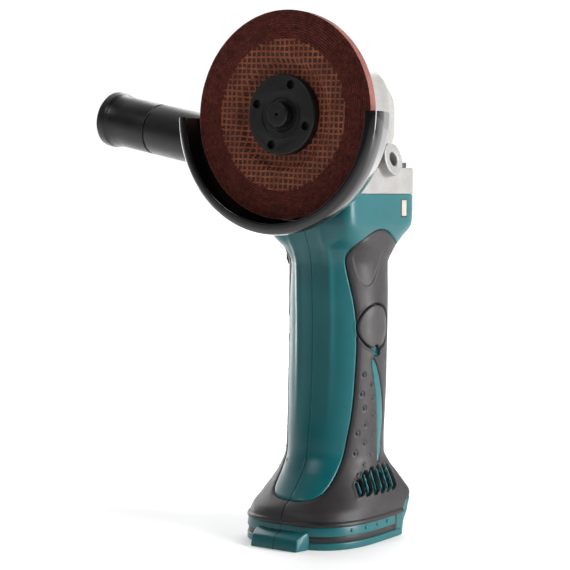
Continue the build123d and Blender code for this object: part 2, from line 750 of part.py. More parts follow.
# ---- side handle ------------------------------------------------------------------
def handle_turned(profile):
    """A solid of revolution about the side handle's axis. Points are (from the boss, radius)."""
    base = handle_plane(-1, BOSS_REACH)
    plane = Plane(origin=base.origin, x_dir=base.z_dir, z_dir=(0, -1, 0))
    with BuildPart() as solid:
        with BuildSketch(plane):
            with BuildLine():
                Polyline(*profile, close=True)
            make_face()
        revolve(axis=Axis(base.origin, base.z_dir))
    return solid.part


def handle_grip():
    neck = HANDLE_L - HANDLE_END_L
    bore = STUD_R + FIT
    return handle_turned([
        (0.1, bore), (0.1, 12.0), (4, 13.5), (14, HANDLE_R - 0.6), (30, HANDLE_R),
        (HANDLE_GROOVE - 1, HANDLE_R), (HANDLE_GROOVE - 1, HANDLE_R - 1), (HANDLE_GROOVE + 1, HANDLE_R - 1),
        (HANDLE_GROOVE + 1, HANDLE_R), (neck - 4, HANDLE_R), (neck, HANDLE_END_R - 0.6),
        (neck + 2, HANDLE_END_R), (HANDLE_L - 1.5, HANDLE_END_R), (HANDLE_L, HANDLE_END_R - 1.5),
        (HANDLE_L, 0), (30, 0), (30, bore),
    ])


def handle_stud():
    return handle_turned([(-STUD_DEPTH, 0), (-STUD_DEPTH, STUD_R - 1), (-STUD_DEPTH + 1, STUD_R - 0.06),
                          (30, STUD_R - 0.06), (30, 0)])


# ---- motor ------------------------------------------------------------------------
def armature_shaft():
    top = HEAD_Z - cone_root(CONE + TOOTH_EDGE, "pinion")[0] - 1.4
    low = LOWER_BEARING_Z
    return collar_stack([(low, 3.9), (COMMUTATOR_LOW, SHAFT_R), (top, SHAFT_R)])


def collar_stack(steps):
    """A stepped shaft. Each step is (height where it starts, radius); the last ends it."""
    profile = [(0, steps[0][0])]
    for (z0, radius), (z1, _) in zip(steps, steps[1:]):
        profile += [(radius, z0), (radius, z1)]
    profile.append((0, steps[-1][0]))
    return turned(profile, "motor")


def armature_core():
    """Laminated core with nine slots."""
    with BuildPart() as core:
        with BuildSketch(Plane.XY.offset(CORE_Z[0])):
            Circle(CORE_R)
            Circle(SHAFT_R + FIT, mode=Mode.SUBTRACT)
            with PolarLocations(CORE_R - 3.4, 9):
                Circle(2.6, mode=Mode.SUBTRACT)
            with PolarLocations(CORE_R - 1, 9):
                Rectangle(4, 1.4, mode=Mode.SUBTRACT)
        extrude(amount=CORE_Z[1] - CORE_Z[0])
    return core.part


def armature_windings():
    """Copper in the slots, with a rounded bundle at each end of the core."""
    with BuildPart() as copper:
        for z0, z1 in ((CORE_Z[0] - 6, CORE_Z[0]), (CORE_Z[1], CORE_Z[1] + 5)):
            add(turned([(5.2, z0 + 1), (6.2, z0), (12.5, z0), (13.8, z0 + 1.3), (13.8, z1), (5.2, z1)], "motor"))
        with BuildSketch(Plane.XY.offset(CORE_Z[0] - 1)):
            with PolarLocations(CORE_R - 3.4, 9):
                Circle(2.35)
        extrude(amount=CORE_Z[1] - CORE_Z[0] + 2)
    return copper.part


def commutator():
    """Copper bars with insulated slots between them, on a moulded sleeve."""
    with BuildPart() as bars:
        add(collar(COMMUTATOR_LOW, CORE_Z[0] - 6, SHAFT_R + FIT, COMMUTATOR_R))
        with BuildSketch(Plane.XY.offset(COMMUTATOR_LOW)):
            with PolarLocations(COMMUTATOR_R, 18):
                Rectangle(1.6, 0.5)
        extrude(amount=CORE_Z[0] - 6 - COMMUTATOR_LOW, mode=Mode.SUBTRACT)
    return bars.part


def cooling_fan():
    """Radial fan: hub, back disc and eleven blades."""
    with BuildPart() as fan:
        add(collar(FAN_Z[0], FAN_Z[1], SHAFT_R + FIT, 7))
        add(collar(FAN_Z[1] - 1.4, FAN_Z[1], 6.5, FAN_R))
        with BuildSketch(Plane.XY.offset(FAN_Z[0])):
            with PolarLocations(0, 11):
                with Locations((14, 0)):
                    Rectangle(15.6, 1.2)
        extrude(amount=FAN_Z[1] - FAN_Z[0])
    return fan.part


def fan_baffle():
    """Ring that guides the air from the motor into the fan."""
    return collar(FAN_Z[0] - 3.0, FAN_Z[0] - 1.2, 12, GRIP_R - SKIN - WALL - 0.4)


def motor_yoke():
    return collar(CORE_Z[0] - 4, CORE_Z[1] + 2, YOKE_R - YOKE_T, YOKE_R)


def field_magnets():
    """Four curved magnets inside the yoke."""
    outer = YOKE_R - YOKE_T - FIT
    with BuildPart() as magnets:
        add(collar(CORE_Z[0] - 1, CORE_Z[1] - 1, outer - MAGNET_T, outer))
        with BuildSketch(Plane.XY.offset(CORE_Z[0] - 2)):
            Rectangle(2 * YOKE_R, 7)
            Rectangle(7, 2 * YOKE_R)
        extrude(amount=CORE_Z[1] - CORE_Z[0] + 4, mode=Mode.SUBTRACT)
    return magnets.part


def motor_end_cap():
    """Moulded end of the motor: bearing seat, brush windows, ring that seats on the yoke."""
    seat = MOTOR_BEARING[1] / 2 + FIT
    low = LOWER_BEARING_Z - 1.5
    with BuildPart() as cap:
        add(turned([
            (6, low), (seat + 2, low), (seat + 2, BRUSH_Z - 12), (YOKE_R - 1, BRUSH_Z - 12),
            (YOKE_R - 1, CORE_Z[0] - 4), (YOKE_R - 3, CORE_Z[0] - 4), (YOKE_R - 3, BRUSH_Z - 10),
            (seat, BRUSH_Z - 10), (seat, LOWER_BEARING_Z), (6, LOWER_BEARING_Z),
        ], "motor"))
        with Locations((0, COVER_Y, BRUSH_Z)):
            Box(80, 9.4, 11.4, mode=Mode.SUBTRACT)
    return cap.part


def brush_parts(width, height, inner, outer, hollow=0.0):
    """A pair of rectangular solids, one on each side of the commutator."""
    with BuildPart() as pair:
        for side in (1, -1):
            with Locations((side * (inner + outer) / 2, COVER_Y, BRUSH_Z)):
                Box(outer - inner, width, height)
                if hollow:
                    Box(outer - inner, width - hollow, height - hollow, mode=Mode.SUBTRACT)
    return pair.part


def brush_holders():
    return brush_parts(9.2, 10.6, COMMUTATOR_R + 2.4, BRUSH_OUT, 1.2)


def carbon_brushes():
    return brush_parts(7.6, 9.0, COMMUTATOR_R + 0.2, COMMUTATOR_R + 9)


def brush_springs():
    """One coil behind each brush."""
    with BuildPart() as springs:
        for side in (1, -1):
            start = side * (COMMUTATOR_R + 9.5)
            place = Plane(origin=(start, COVER_Y, BRUSH_Z), x_dir=(0, 1, 0), z_dir=(side, 0, 0))
            path = place.location * Helix(pitch=1.3, height=BRUSH_OUT - COMMUTATOR_R - 10.2, radius=2.6)
            with BuildSketch(Plane(origin=path @ 0, z_dir=path % 0)):
                Circle(0.3)
            sweep(path=path)
    return springs.part


def brush_caps():
    """Slotted caps that close the holders."""
    with BuildPart() as caps:
        for side in (1, -1):
            with BuildSketch(Plane(origin=(side * BRUSH_OUT, COVER_Y, BRUSH_Z), z_dir=(side, 0, 0))):
                Circle(7.4)
            extrude(amount=2.0)
            with BuildSketch(Plane(origin=(side * (BRUSH_OUT + 2), COVER_Y, BRUSH_Z), z_dir=(side, 0, 0))):
                Rectangle(11, 1.2)
            extrude(amount=-1, mode=Mode.SUBTRACT)
    return caps.part


def brush_cover(side):
    """Round cover in the rubber, with a pry notch at the bottom and two short legs."""
    face = GRIP_R - 0.2
    with BuildPart() as cover:
        with BuildSketch(Plane(origin=(side * face, COVER_Y, BRUSH_Z), z_dir=(side, 0, 0))):
            Circle(COVER_R)
        extrude(amount=-COVER_T)
        with BuildSketch(Plane(origin=(side * face, COVER_Y, BRUSH_Z - COVER_R), z_dir=(side, 0, 0))):
            Rectangle(3.4, 3.4)
        extrude(amount=-COVER_T, mode=Mode.SUBTRACT)
    return cover.part


# ---- switch, wiring and foot ------------------------------------------------------
def slide_knob():
    """On-off slide in the left half, with four ridges across it."""
    face = -GRIP_R - 2.4
    with BuildPart() as knob:
        with Locations((face + 3.4, -2, KNOB_Z)):
            Box(6.8, 11.6, 15)
        fillet(knob.edges().filter_by(Axis.X), 3)
        with BuildSketch(Plane(origin=(face, -2, KNOB_Z), z_dir=(-1, 0, 0))):
            with GridLocations(1, 3.2, 1, 4):
                Rectangle(9, 1.3)
        extrude(amount=0.9)
    return knob.part


def switch_rod():
    """Flat rod from the knob down to the switch, between the motor and the left wall."""
    with BuildPart() as rod:
        with Locations((-22.9, 6.1, (KNOB_Z + SWITCH_Z + 22) / 2)):
            Box(0.8, 2.8, KNOB_Z - SWITCH_Z - 10)
        with Locations((-23.7, 2.7, KNOB_Z)):
            Box(0.8, 9.6, 8)
        with Locations((-17.6, 6.1, SWITCH_Z + 16.6)):
            Box(11.4, 2.8, 1.0)
    return rod.part


def switch_unit():
    with BuildPart() as body:
        with Locations((0, -2, SWITCH_Z)):
            Box(24, 20, 30)
        fillet(body.edges().filter_by(Axis.Z), 2)
        with Locations((-5, -2, SWITCH_Z - 17)):
            Box(5, 1.2, 4)
        with Locations((5, -2, SWITCH_Z - 17)):
            Box(5, 1.2, 4)
    return body.part


def terminal_block():
    """Moulded block that holds the blades over the battery bay."""
    with BuildPart() as block:
        with Locations((0, -16, 12.5)):
            Box(TERMINAL_W, TERMINAL_L, 10.6)
        for x in (-BLADE_X, BLADE_X):
            with Locations((x, -16, 12.5)):
                Box(BLADE_T + 0.1, 16.1, 10.6, mode=Mode.SUBTRACT)
    return block.part


def terminal_blades():
    with BuildPart() as blades:
        for x in (-BLADE_X, BLADE_X):
            with Locations((x, -16, 12.0)):
                Box(BLADE_T, 16, 19)
    return blades.part


def lead_wires():
    """Two insulated leads from the blades up to the switch."""
    with BuildPart() as wires:
        for side in (-1, 1):
            start = (side * BLADE_X, -16, 21.6)
            middle = (side * 9, -10, 34)
            stop = (side * 5, -2, SWITCH_Z - 19.2)
            with BuildLine() as path:
                Spline(start, middle, stop, tangents=((0, 0, 1), (0, 0.2, 1)))
            with BuildSketch(Plane(origin=start, z_dir=(0, 0, 1))):
                Circle(1.3)
            sweep(path=path.line)
    return wires.part


def shell_screws():
    """Screws that pull the two halves together, driven from the left."""
    with BuildPart() as screws:
        for y, z in SHELL_SCREWS:
            with BuildSketch(Plane(origin=(-SCREW_SEAT, y, z), z_dir=(1, 0, 0))):
                Circle(1.7)
            extrude(amount=SCREW_SEAT + 9)
            with BuildSketch(Plane(origin=(-SCREW_SEAT, y, z), z_dir=(-1, 0, 0))):
                Circle(3.4)
            extrude(amount=2.4)
            with BuildSketch(Plane(origin=(-SCREW_SEAT - 2.4, y, z), z_dir=(-1, 0, 0))):
                Rectangle(4, 1)
                Rectangle(1, 4)
            extrude(amount=-1.2, mode=Mode.SUBTRACT)
    return screws.part


PIECES = {
    "gear_housing": gear_housing,
    "gear_housing_screws": gear_housing_screws,
    "bearing_box": bearing_box,
    "bearing_box_screws": bearing_box_screws,
    "felt_seal": felt_seal,
    "needle_bearing": needle_bearing,
    "spindle": spindle,
    "spindle_spacer": spindle_spacer,
    "gear_clip": gear_clip,
    "ring_gear": ring_gear,
    "inner_flange": inner_flange,
    "grinding_wheel": grinding_wheel,
    "lock_nut": lock_nut,
    "lock_pin": lock_pin,
    "lock_button": lock_button,
    "lock_spring": lock_spring,
    "wheel_guard": wheel_guard,
    "guard_band": guard_band,
    "guard_clamp_screw": guard_clamp_screw,
    "handle_grip": handle_grip,
    "handle_stud": handle_stud,
    "drive_pinion": drive_pinion,
    "armature_shaft": armature_shaft,
    "armature_core": armature_core,
    "armature_windings": armature_windings,
    "commutator": commutator,
    "cooling_fan": cooling_fan,
    "fan_baffle": fan_baffle,
    "motor_yoke": motor_yoke,
    "field_magnets": field_magnets,
    "motor_end_cap": motor_end_cap,
    "brush_holders": brush_holders,
    "carbon_brushes": carbon_brushes,
    "brush_springs": brush_springs,
    "brush_caps": brush_caps,
    "grip_shell_right": lambda: grip_shell(1),
    "grip_shell_left": lambda: grip_shell(-1),
    "rubber_grip_right": lambda: rubber_grip(1),
    "rubber_grip_left": lambda: rubber_grip(-1),
    "brush_cover_right": lambda: brush_cover(1),
    "brush_cover_left": lambda: brush_cover(-1),
    "slide_knob": slide_knob,
    "switch_rod": switch_rod,
    "switch_unit": switch_unit,
    "terminal_block": terminal_block,
    "terminal_blades": terminal_blades,
    "lead_wires": lead_wires,
    "shell_screws": shell_screws,
}

BEARINGS = {
    "spindle_bearing": (SPINDLE_BEARING, BEARING_Y, "spindle"),
    "upper_bearing": (MOTOR_BEARING, UPPER_BEARING_Z, "motor"),
    "lower_bearing": (MOTOR_BEARING, LOWER_BEARING_Z, "motor"),
}


def write(name, part):
    part.label = name
    export_step(part, f"parts/{name}.step")


if __name__ == "__main__":
    os.makedirs("parts", exist_ok=True)
    for name, make in PIECES.items():
        write(name, make())
    for name, (size, start, about) in BEARINGS.items():
        outer, inner, balls = bearing_rings(size, start, about)
        write(name + "_outer", outer)
        write(name + "_inner", inner)
        write(name + "_balls", balls)
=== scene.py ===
import json
import math

import bmesh
import bpy
import numpy as np
from mathutils import Matrix, Vector

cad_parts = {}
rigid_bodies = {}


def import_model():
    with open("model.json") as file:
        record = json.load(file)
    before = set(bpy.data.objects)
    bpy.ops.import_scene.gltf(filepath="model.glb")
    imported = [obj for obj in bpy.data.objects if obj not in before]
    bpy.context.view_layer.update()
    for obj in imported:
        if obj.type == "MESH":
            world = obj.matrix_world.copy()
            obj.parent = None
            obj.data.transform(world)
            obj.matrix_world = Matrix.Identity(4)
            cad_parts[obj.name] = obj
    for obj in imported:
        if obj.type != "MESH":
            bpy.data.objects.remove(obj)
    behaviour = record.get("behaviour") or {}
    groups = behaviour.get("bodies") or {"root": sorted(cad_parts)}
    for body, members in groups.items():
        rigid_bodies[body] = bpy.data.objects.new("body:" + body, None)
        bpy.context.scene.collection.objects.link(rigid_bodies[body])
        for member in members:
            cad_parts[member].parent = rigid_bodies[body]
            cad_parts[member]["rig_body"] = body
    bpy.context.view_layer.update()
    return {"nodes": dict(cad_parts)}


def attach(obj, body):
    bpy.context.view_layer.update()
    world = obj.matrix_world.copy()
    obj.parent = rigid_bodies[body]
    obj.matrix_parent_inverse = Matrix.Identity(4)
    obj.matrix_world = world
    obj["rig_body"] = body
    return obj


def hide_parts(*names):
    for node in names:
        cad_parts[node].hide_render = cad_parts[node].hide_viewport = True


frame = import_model()
NODES = frame["nodes"]

MM = 0.001
HEAD_Z = 240.75            # height of the spindle's axis
WELD = 2e-6                # points closer than this many metres are one


# ---- meshes ---------------------------------------------------------------------
def piece(name, verts, faces, material, body, replaced=(), flat_angle=40):
    """A mesh piece from points in millimetres. It rides on a body of the part."""
    mesh = bpy.data.meshes.new(name)
    points = [tuple(v) for v in np.asarray(verts, float) * MM]
    mesh.from_pydata(points, [], [tuple(int(i) for i in f) for f in faces])
    mesh.validate()
    bm = bmesh.new()
    bm.from_mesh(mesh)
    bmesh.ops.recalc_face_normals(bm, faces=bm.faces)
    bm.to_mesh(mesh)
    bm.free()
    return finished(name, mesh, material, body, replaced, flat_angle)


def finished(name, mesh, material, body, replaced=(), flat_angle=40):
    """A mesh made into a shaded piece. Edges sharper than flat_angle degrees stay crisp."""
    mesh.polygons.foreach_set("use_smooth", [True] * len(mesh.polygons))
    mesh.set_sharp_from_angle(angle=math.radians(flat_angle))
    mesh.materials.clear()
    mesh.materials.append(material)
    obj = bpy.data.objects.new(name, mesh)
    bpy.context.scene.collection.objects.link(obj)
    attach(obj, body)
    if replaced:
        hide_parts(*replaced)
    return obj


def rounded(profile, radius=0.4, steps=3):
    """A closed outline with its corners rounded. A third number in a point sets its own radius."""
    points = [np.array(p[:2], float) for p in profile]
    radii = [p[2] if len(p) > 2 else radius for p in profile]
    out = []
    n = len(points)
    for i in range(n):
        a, b, c = points[i - 1], points[i], points[(i + 1) % n]
        u, v = a - b, c - b
        lu, lv = np.linalg.norm(u), np.linalg.norm(v)
        r = min(radii[i], 0.45 * lu, 0.45 * lv)
        if r < 1e-3:
            out.append(b)
            continue
        start, end = b + u / lu * r, b + v / lv * r
        for k in range(steps + 1):
            t = k / steps
            out.append((1 - t) ** 2 * start + 2 * t * (1 - t) * b + t * t * end)
    return out


def lathe(profile, origin, axis, segments=96):
    """Verts and faces of a closed outline (along, radius) turned about an axis."""
    axis = np.array(axis, float) / np.linalg.norm(axis)
    helper = np.array((0, 0, 1.0)) if abs(axis[2]) < 0.9 else np.array((1.0, 0, 0))
    side = np.cross(axis, helper)
    side /= np.linalg.norm(side)
    up = np.cross(side, axis)
    verts, faces, rings = [], [], []
    for along, radius in profile:
        base = np.array(origin, float) + axis * along
        if radius < 1e-6:
            rings.append([len(verts)] * segments)
            verts.append(base)
            continue
        rings.append(list(range(len(verts), len(verts) + segments)))
        for k in range(segments):
            a = 2 * math.pi * k / segments
            verts.append(base + radius * (math.cos(a) * side + math.sin(a) * up))
    n = len(rings)
    for i in range(n):
        p, q = rings[i], rings[(i + 1) % n]
        if len(set(p)) == 1 and len(set(q)) == 1:
            continue
        for k in range(segments):
            m = (k + 1) % segments
            quad = []
            for index in (p[k], p[m], q[m], q[k]):
                if index not in quad:
                    quad.append(index)
            faces.append(quad)
    return verts, faces


def refined(node, material, width):
    """A CAD node's own shape with its sharp edges broken by a small bevel."""
    body = NODES[node]["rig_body"]
    bm = bmesh.new()
    bm.from_mesh(NODES[node].data)
    bmesh.ops.remove_doubles(bm, verts=bm.verts, dist=WELD)
    bmesh.ops.dissolve_limit(bm, angle_limit=math.radians(1.0), verts=bm.verts, edges=bm.edges)
    crease = math.radians(35)
    sharp = [e for e in bm.edges if len(e.link_faces) == 2 and e.calc_face_angle(0) > crease]
    bmesh.ops.bevel(bm, geom=sharp, offset=width * MM, segments=2, profile=0.6, affect="EDGES",
                    clamp_overlap=True)
    mesh = bpy.data.meshes.new(node + "_fine")
    bm.to_mesh(mesh)
    bm.free()
    return finished(node + "_fine", mesh, material, body, (node,), 32)


def block(name, corners, width, segments, material, slot):
    """The solid round a set of corners in millimetres, with its edges rounded. It rides on the housing."""
    bm = bmesh.new()
    for corner in corners:
        bm.verts.new([v * MM for v in corner])
    bmesh.ops.convex_hull(bm, input=bm.verts)
    bmesh.ops.dissolve_limit(bm, angle_limit=math.radians(2), verts=bm.verts, edges=bm.edges)
    bmesh.ops.bevel(bm, geom=bm.edges[:], offset=width * MM, segments=segments, profile=0.5, affect="EDGES",
                    clamp_overlap=True)
    mesh = bpy.data.meshes.new(name)
    bm.to_mesh(mesh)
    bm.free()
    return finished(name, mesh, material, "housing", (), 40)


def cast(node, material, voxel=0.65, rounds=6):
    """A CAD node's own shape with the soft fillets of a casting."""
    body = NODES[node]["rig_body"]
    mesh = NODES[node].data.copy()
    obj = bpy.data.objects.new("temporary", mesh)
    bpy.context.scene.collection.objects.link(obj)
    weld = obj.modifiers.new("weld", "WELD")
    weld.merge_threshold = WELD
    remesh = obj.modifiers.new("remesh", "REMESH")
    remesh.mode = "VOXEL"
    remesh.voxel_size = voxel * MM
    smooth = obj.modifiers.new("smooth", "SMOOTH")
    smooth.factor = 0.5
    smooth.iterations = rounds
    bpy.context.view_layer.update()
    evaluated = obj.evaluated_get(bpy.context.evaluated_depsgraph_get())
    result = bpy.data.meshes.new_from_object(evaluated)
    result.name = node + "_cast"
    bpy.data.objects.remove(obj)
    return finished(node + "_cast", result, material, body, (node,), 180)


# ---- materials ------------------------------------------------------------------
def surface(name, low, high, rough, patch=40, grain=900, bump=0.15, depth=0.05, metallic=0.0,
            coat=0.0, specular=0.5, speck=None):
    """A procedural finish: two tones in patches, uneven roughness and a fine grain in relief.
    low and high are linear colours, rough the two ends of the roughness, and depth is in millimetres.
    speck is (where the noise turns into a grain, the grain's colour, the noise's scale)."""
    material = bpy.data.materials.new(name)
    material.use_nodes = True
    tree = material.node_tree
    shader = tree.nodes["Principled BSDF"]
    shader.inputs["Metallic"].default_value = metallic
    shader.inputs["Coat Weight"].default_value = coat
    shader.inputs["Coat Roughness"].default_value = 0.08
    shader.inputs["Specular IOR Level"].default_value = specular
    place = tree.nodes.new("ShaderNodeTexCoord")

    def noise(scale, detail=4.0, roughness=0.6):
        node = tree.nodes.new("ShaderNodeTexNoise")
        node.inputs["Scale"].default_value = scale
        node.inputs["Detail"].default_value = detail
        node.inputs["Roughness"].default_value = roughness
        tree.links.new(place.outputs["Object"], node.inputs["Vector"])
        return node.outputs["Fac"]

    def ramp(source, stops):
        node = tree.nodes.new("ShaderNodeValToRGB")
        tree.links.new(source, node.inputs["Fac"])
        while len(node.color_ramp.elements) < len(stops):
            node.color_ramp.elements.new(0.5)
        for element, (at, colour) in zip(node.color_ramp.elements, stops):
            element.position = at
            element.color = (*colour, 1)
        return node.outputs["Color"]

    def mixed(factor, a, b, blend="MIX"):
        node = tree.nodes.new("ShaderNodeMix")
        node.data_type = "RGBA"
        node.blend_type = blend
        if isinstance(factor, float):
            node.inputs[0].default_value = factor
        else:
            tree.links.new(factor, node.inputs[0])
        tree.links.new(a, node.inputs[6])
        tree.links.new(b, node.inputs[7])
        return node.outputs[2]

    colour = ramp(noise(patch), [(0.3, low), (0.7, high)])
    fine = ramp(noise(grain, 3.0), [(0.35, (0.88,) * 3), (0.65, (1.0,) * 3)])
    colour = mixed(1.0, colour, fine, "MULTIPLY")
    if speck:
        amount, tint, scale = speck
        dots = ramp(noise(scale, 2.0, 0.5), [(amount, (0, 0, 0)), (amount + 0.04, (1, 1, 1))])
        tone = tree.nodes.new("ShaderNodeRGB")
        tone.outputs[0].default_value = (*tint, 1)
        colour = mixed(dots, colour, tone.outputs[0])
    tree.links.new(colour, shader.inputs["Base Color"])
    spread = tree.nodes.new("ShaderNodeMapRange")
    spread.inputs["From Min"].default_value = 0.3
    spread.inputs["From Max"].default_value = 0.7
    spread.inputs["To Min"].default_value = rough[0]
    spread.inputs["To Max"].default_value = rough[1]
    tree.links.new(noise(patch * 3.3, 6.0), spread.inputs["Value"])
    tree.links.new(spread.outputs["Result"], shader.inputs["Roughness"])
    relief = tree.nodes.new("ShaderNodeBump")
    relief.inputs["Strength"].default_value = bump
    relief.inputs["Distance"].default_value = depth * MM
    tree.links.new(noise(grain, 4.0, 0.65), relief.inputs["Height"])
    tree.links.new(relief.outputs["Normal"], shader.inputs["Normal"])
    return material


TEAL = surface("teal_moulded", (0.0005, 0.098, 0.111), (0.001, 0.122, 0.136), (0.30, 0.40), 25, 2600, 0.25,
               0.03)
RUBBER = surface("grip_elastomer", (0.016, 0.0133, 0.014), (0.024, 0.0195, 0.0205), (0.44, 0.58), 45, 3000,
                 0.5, 0.05)
COVER = surface("cover_satin", (0.032, 0.027, 0.028), (0.042, 0.036, 0.037), (0.42, 0.52), 60, 2500,
                0.35, 0.04)
TRIM = surface("trim_black", (0.008, 0.007, 0.007), (0.013, 0.012, 0.012), (0.38, 0.5), 45, 2400, 0.35, 0.04)
GUARD = surface("guard_paint", (0.006, 0.006, 0.006), (0.010, 0.009, 0.009), (0.10, 0.17), 22, 500, 0.10,
                0.04, coat=0.5)
HANDLE = surface("handle_satin", (0.007, 0.006, 0.006), (0.011, 0.010, 0.010), (0.30, 0.40), 40, 2200,
                 0.3, 0.03)
CAST = surface("satin_casting", (0.34, 0.33, 0.32), (0.43, 0.42, 0.405), (0.36, 0.5), 70, 1100, 0.45, 0.09,
               metallic=0.35)
OXIDE = surface("black_oxide", (0.012, 0.011, 0.012), (0.020, 0.019, 0.020), (0.36, 0.48), 70, 1500, 0.3,
                0.03, metallic=0.35)
STEEL = surface("ground_steel", (0.36, 0.36, 0.37), (0.50, 0.50, 0.51), (0.22, 0.36), 120, 1800, 0.25, 0.02,
                metallic=1.0)
SCREW = surface("screw_black", (0.03, 0.03, 0.03), (0.05, 0.05, 0.052), (0.3, 0.42), 90, 1500, 0.3, 0.02,
                metallic=0.6)
GRIT = surface("bonded_grit", (0.050, 0.0105, 0.0075), (0.165, 0.034, 0.024), (0.72, 0.9), 480, 1000,
               1.0, 0.7,
               specular=0.2, speck=(0.70, (0.42, 0.20, 0.15), 1300))
EDGE = surface("grit_edge", (0.20, 0.065, 0.052), (0.30, 0.11, 0.09), (0.7, 0.9), 80, 1400, 1.0, 0.35,
               speck=(0.68, (0.45, 0.25, 0.2), 1300))
MESHING = surface("glass_thread", (0.26, 0.070, 0.030), (0.58, 0.185, 0.085), (0.55, 0.75), 70, 1600,
                  0.6, 0.12)
RESIN = surface("resin_ground", (0.032, 0.0062, 0.0036), (0.085, 0.0170, 0.0095), (0.6, 0.8), 80, 1400,
                0.9, 0.25)
INNER = surface("dark_plastic", (0.010, 0.010, 0.011), (0.018, 0.018, 0.019), (0.45, 0.6), 60, 1500, 0.3,
                0.04)
COPPER = surface("copper_wire", (0.42, 0.13, 0.05), (0.6, 0.2, 0.09), (0.25, 0.4), 200, 1800, 0.4, 0.05,
                 metallic=0.9)
BRASS = surface("satin_brass", (0.5, 0.32, 0.1), (0.62, 0.42, 0.15), (0.25, 0.38), 120, 1500, 0.3, 0.02,
                metallic=1.0)
CORE = surface("laminated_steel", (0.16, 0.16, 0.17), (0.24, 0.24, 0.25), (0.35, 0.5), 120, 1800, 0.4, 0.04,
               metallic=0.9)
MAGNET = surface("ferrite", (0.03, 0.03, 0.032), (0.05, 0.05, 0.052), (0.6, 0.75), 80, 1200, 0.5, 0.08)
FELT = surface("wool_felt", (0.35, 0.31, 0.25), (0.5, 0.46, 0.38), (0.85, 0.95), 200, 2200, 1.0, 0.2)
LEADS = surface("red_insulation", (0.25, 0.008, 0.008), (0.36, 0.014, 0.012), (0.25, 0.35), 80, 1200,
                0.1, 0.02)
WINDOW = surface("window_plate", (0.42, 0.38, 0.33), (0.52, 0.48, 0.42), (0.3, 0.42), 90, 1500, 0.3, 0.03)

SLOT_MATERIAL = {
    "cast_aluminium": CAST, "steel": STEEL, "black_screws": SCREW, "core_steel": CORE, "copper": COPPER,
    "magnet": MAGNET, "carbon": MAGNET, "brass": BRASS, "black_flanges": OXIDE, "black_guard": GUARD,
    "abrasive": GRIT, "teal_plastic": TEAL, "grip_rubber": RUBBER, "cover_plastic": COVER,
    "handle_plastic": HANDLE, "inner_plastic": INNER, "felt": FELT, "lead_insulation": LEADS,
}
for node in NODES.values():
    slot_name = node.data.materials[0].name.split(".")[0]
    node.data.materials.clear()
    node.data.materials.append(SLOT_MATERIAL[slot_name])


# ---- the grip's surface ---------------------------------------------------------
# height, half width, front, back, middle, roundness of the front half, of the back half
STATIONS = np.array([
    (0.0, 38.3, -57.0, 12.0, -8.0, 3.0, 24.0),
    (6.0, 38.3, -57.0, 14.6, -8.0, 3.0, 24.0),
    (13.0, 38.3, -57.0, 17.6, -8.0, 2.9, 24.0),
    (16.0, 38.2, -56.9, 19.0, -8.0, 2.7, 24.0),
    (19.5, 38.0, -55.6, 21.0, -8.0, 2.5, 24.0),
    (24.0, 37.0, -51.0, 23.0, -7.5, 2.2, 18.0),
    (28.0, 35.3, -46.6, 24.0, -7.0, 2.05, 9.0),
    (33.0, 32.6, -41.8, 24.5, -6.0, 2.0, 5.5),
    (40.0, 29.7, -36.2, 25.0, -4.6, 2.0, 3.0),
    (48.0, 27.9, -32.2, 25.6, -3.2, 2.0, 2.1),
    (57.0, 27.5, -31.0, 25.8, -2.4, 2.05, 2.1),
    (70.0, 27.9, -29.2, 25.9, -1.6, 2.1, 2.1),
    (90.0, 28.6, -27.6, 26.2, -0.8, 2.1, 2.1),
    (120.0, 28.6, -26.8, 27.2, 0.0, 2.1, 2.1),
    (140.0, 28.4, -27.4, 28.0, 0.2, 2.1, 2.1),
    (157.0, 28.0, -28.3, 28.6, 0.0, 2.05, 2.1),
    (165.0, 28.9, -30.2, 31.0, 0.0, 2.3, 2.6),
    (173.0, 30.0, -33.6, 34.4, 0.0, 4.6, 4.6),
    (181.0, 31.0, -36.0, 37.2, 0.0, 8.0, 10.0),
    (186.0, 31.0, -36.3, 37.3, 0.0, 9.0, 11.0),
    (197.2, 31.0, -36.3, 37.3, 0.0, 9.0, 11.0),
])
GRIP_TOP = 197.2


def pchip(x, y, q):
    """A smooth curve through points that never overshoots them."""
    h = np.diff(x)
    d = np.diff(y) / h
    m = np.zeros(len(x))
    for i in range(1, len(x) - 1):
        if d[i - 1] * d[i] > 0:
            w1, w2 = 2 * h[i] + h[i - 1], h[i] + 2 * h[i - 1]
            m[i] = (w1 + w2) / (w1 / d[i - 1] + w2 / d[i])
    m[0], m[-1] = d[0], d[-1]
    i = np.clip(np.searchsorted(x, q) - 1, 0, len(h) - 1)
    t = (q - x[i]) / h[i]
    return ((2 * t**3 - 3 * t**2 + 1) * y[i] + (t**3 - 2 * t**2 + t) * h[i] * m[i]
            + (3 * t**2 - 2 * t**3) * y[i + 1] + (t**3 - t**2) * h[i] * m[i + 1])


def section(phi, z):
    """The point at angle phi of the grip's outline at height z. Phi is -90 degrees at the front."""
    curves = [pchip(STATIONS[:, 0], STATIONS[:, k], z) for k in range(1, STATIONS.shape[1])]
    half, front, back, middle, round_front, round_back = curves
    c, s = np.cos(phi), np.sin(phi)
    n = np.where(s < 0, round_front, round_back)
    reach = np.where(s < 0, middle - front, back - middle)
    r = (np.abs(c / half) ** n + np.abs(s / reach) ** n) ** (-1 / n)
    return r * c, middle + r * s


TABLE_Z = np.linspace(0, GRIP_TOP, 395)
TABLE_T = np.linspace(0, 1, 401)


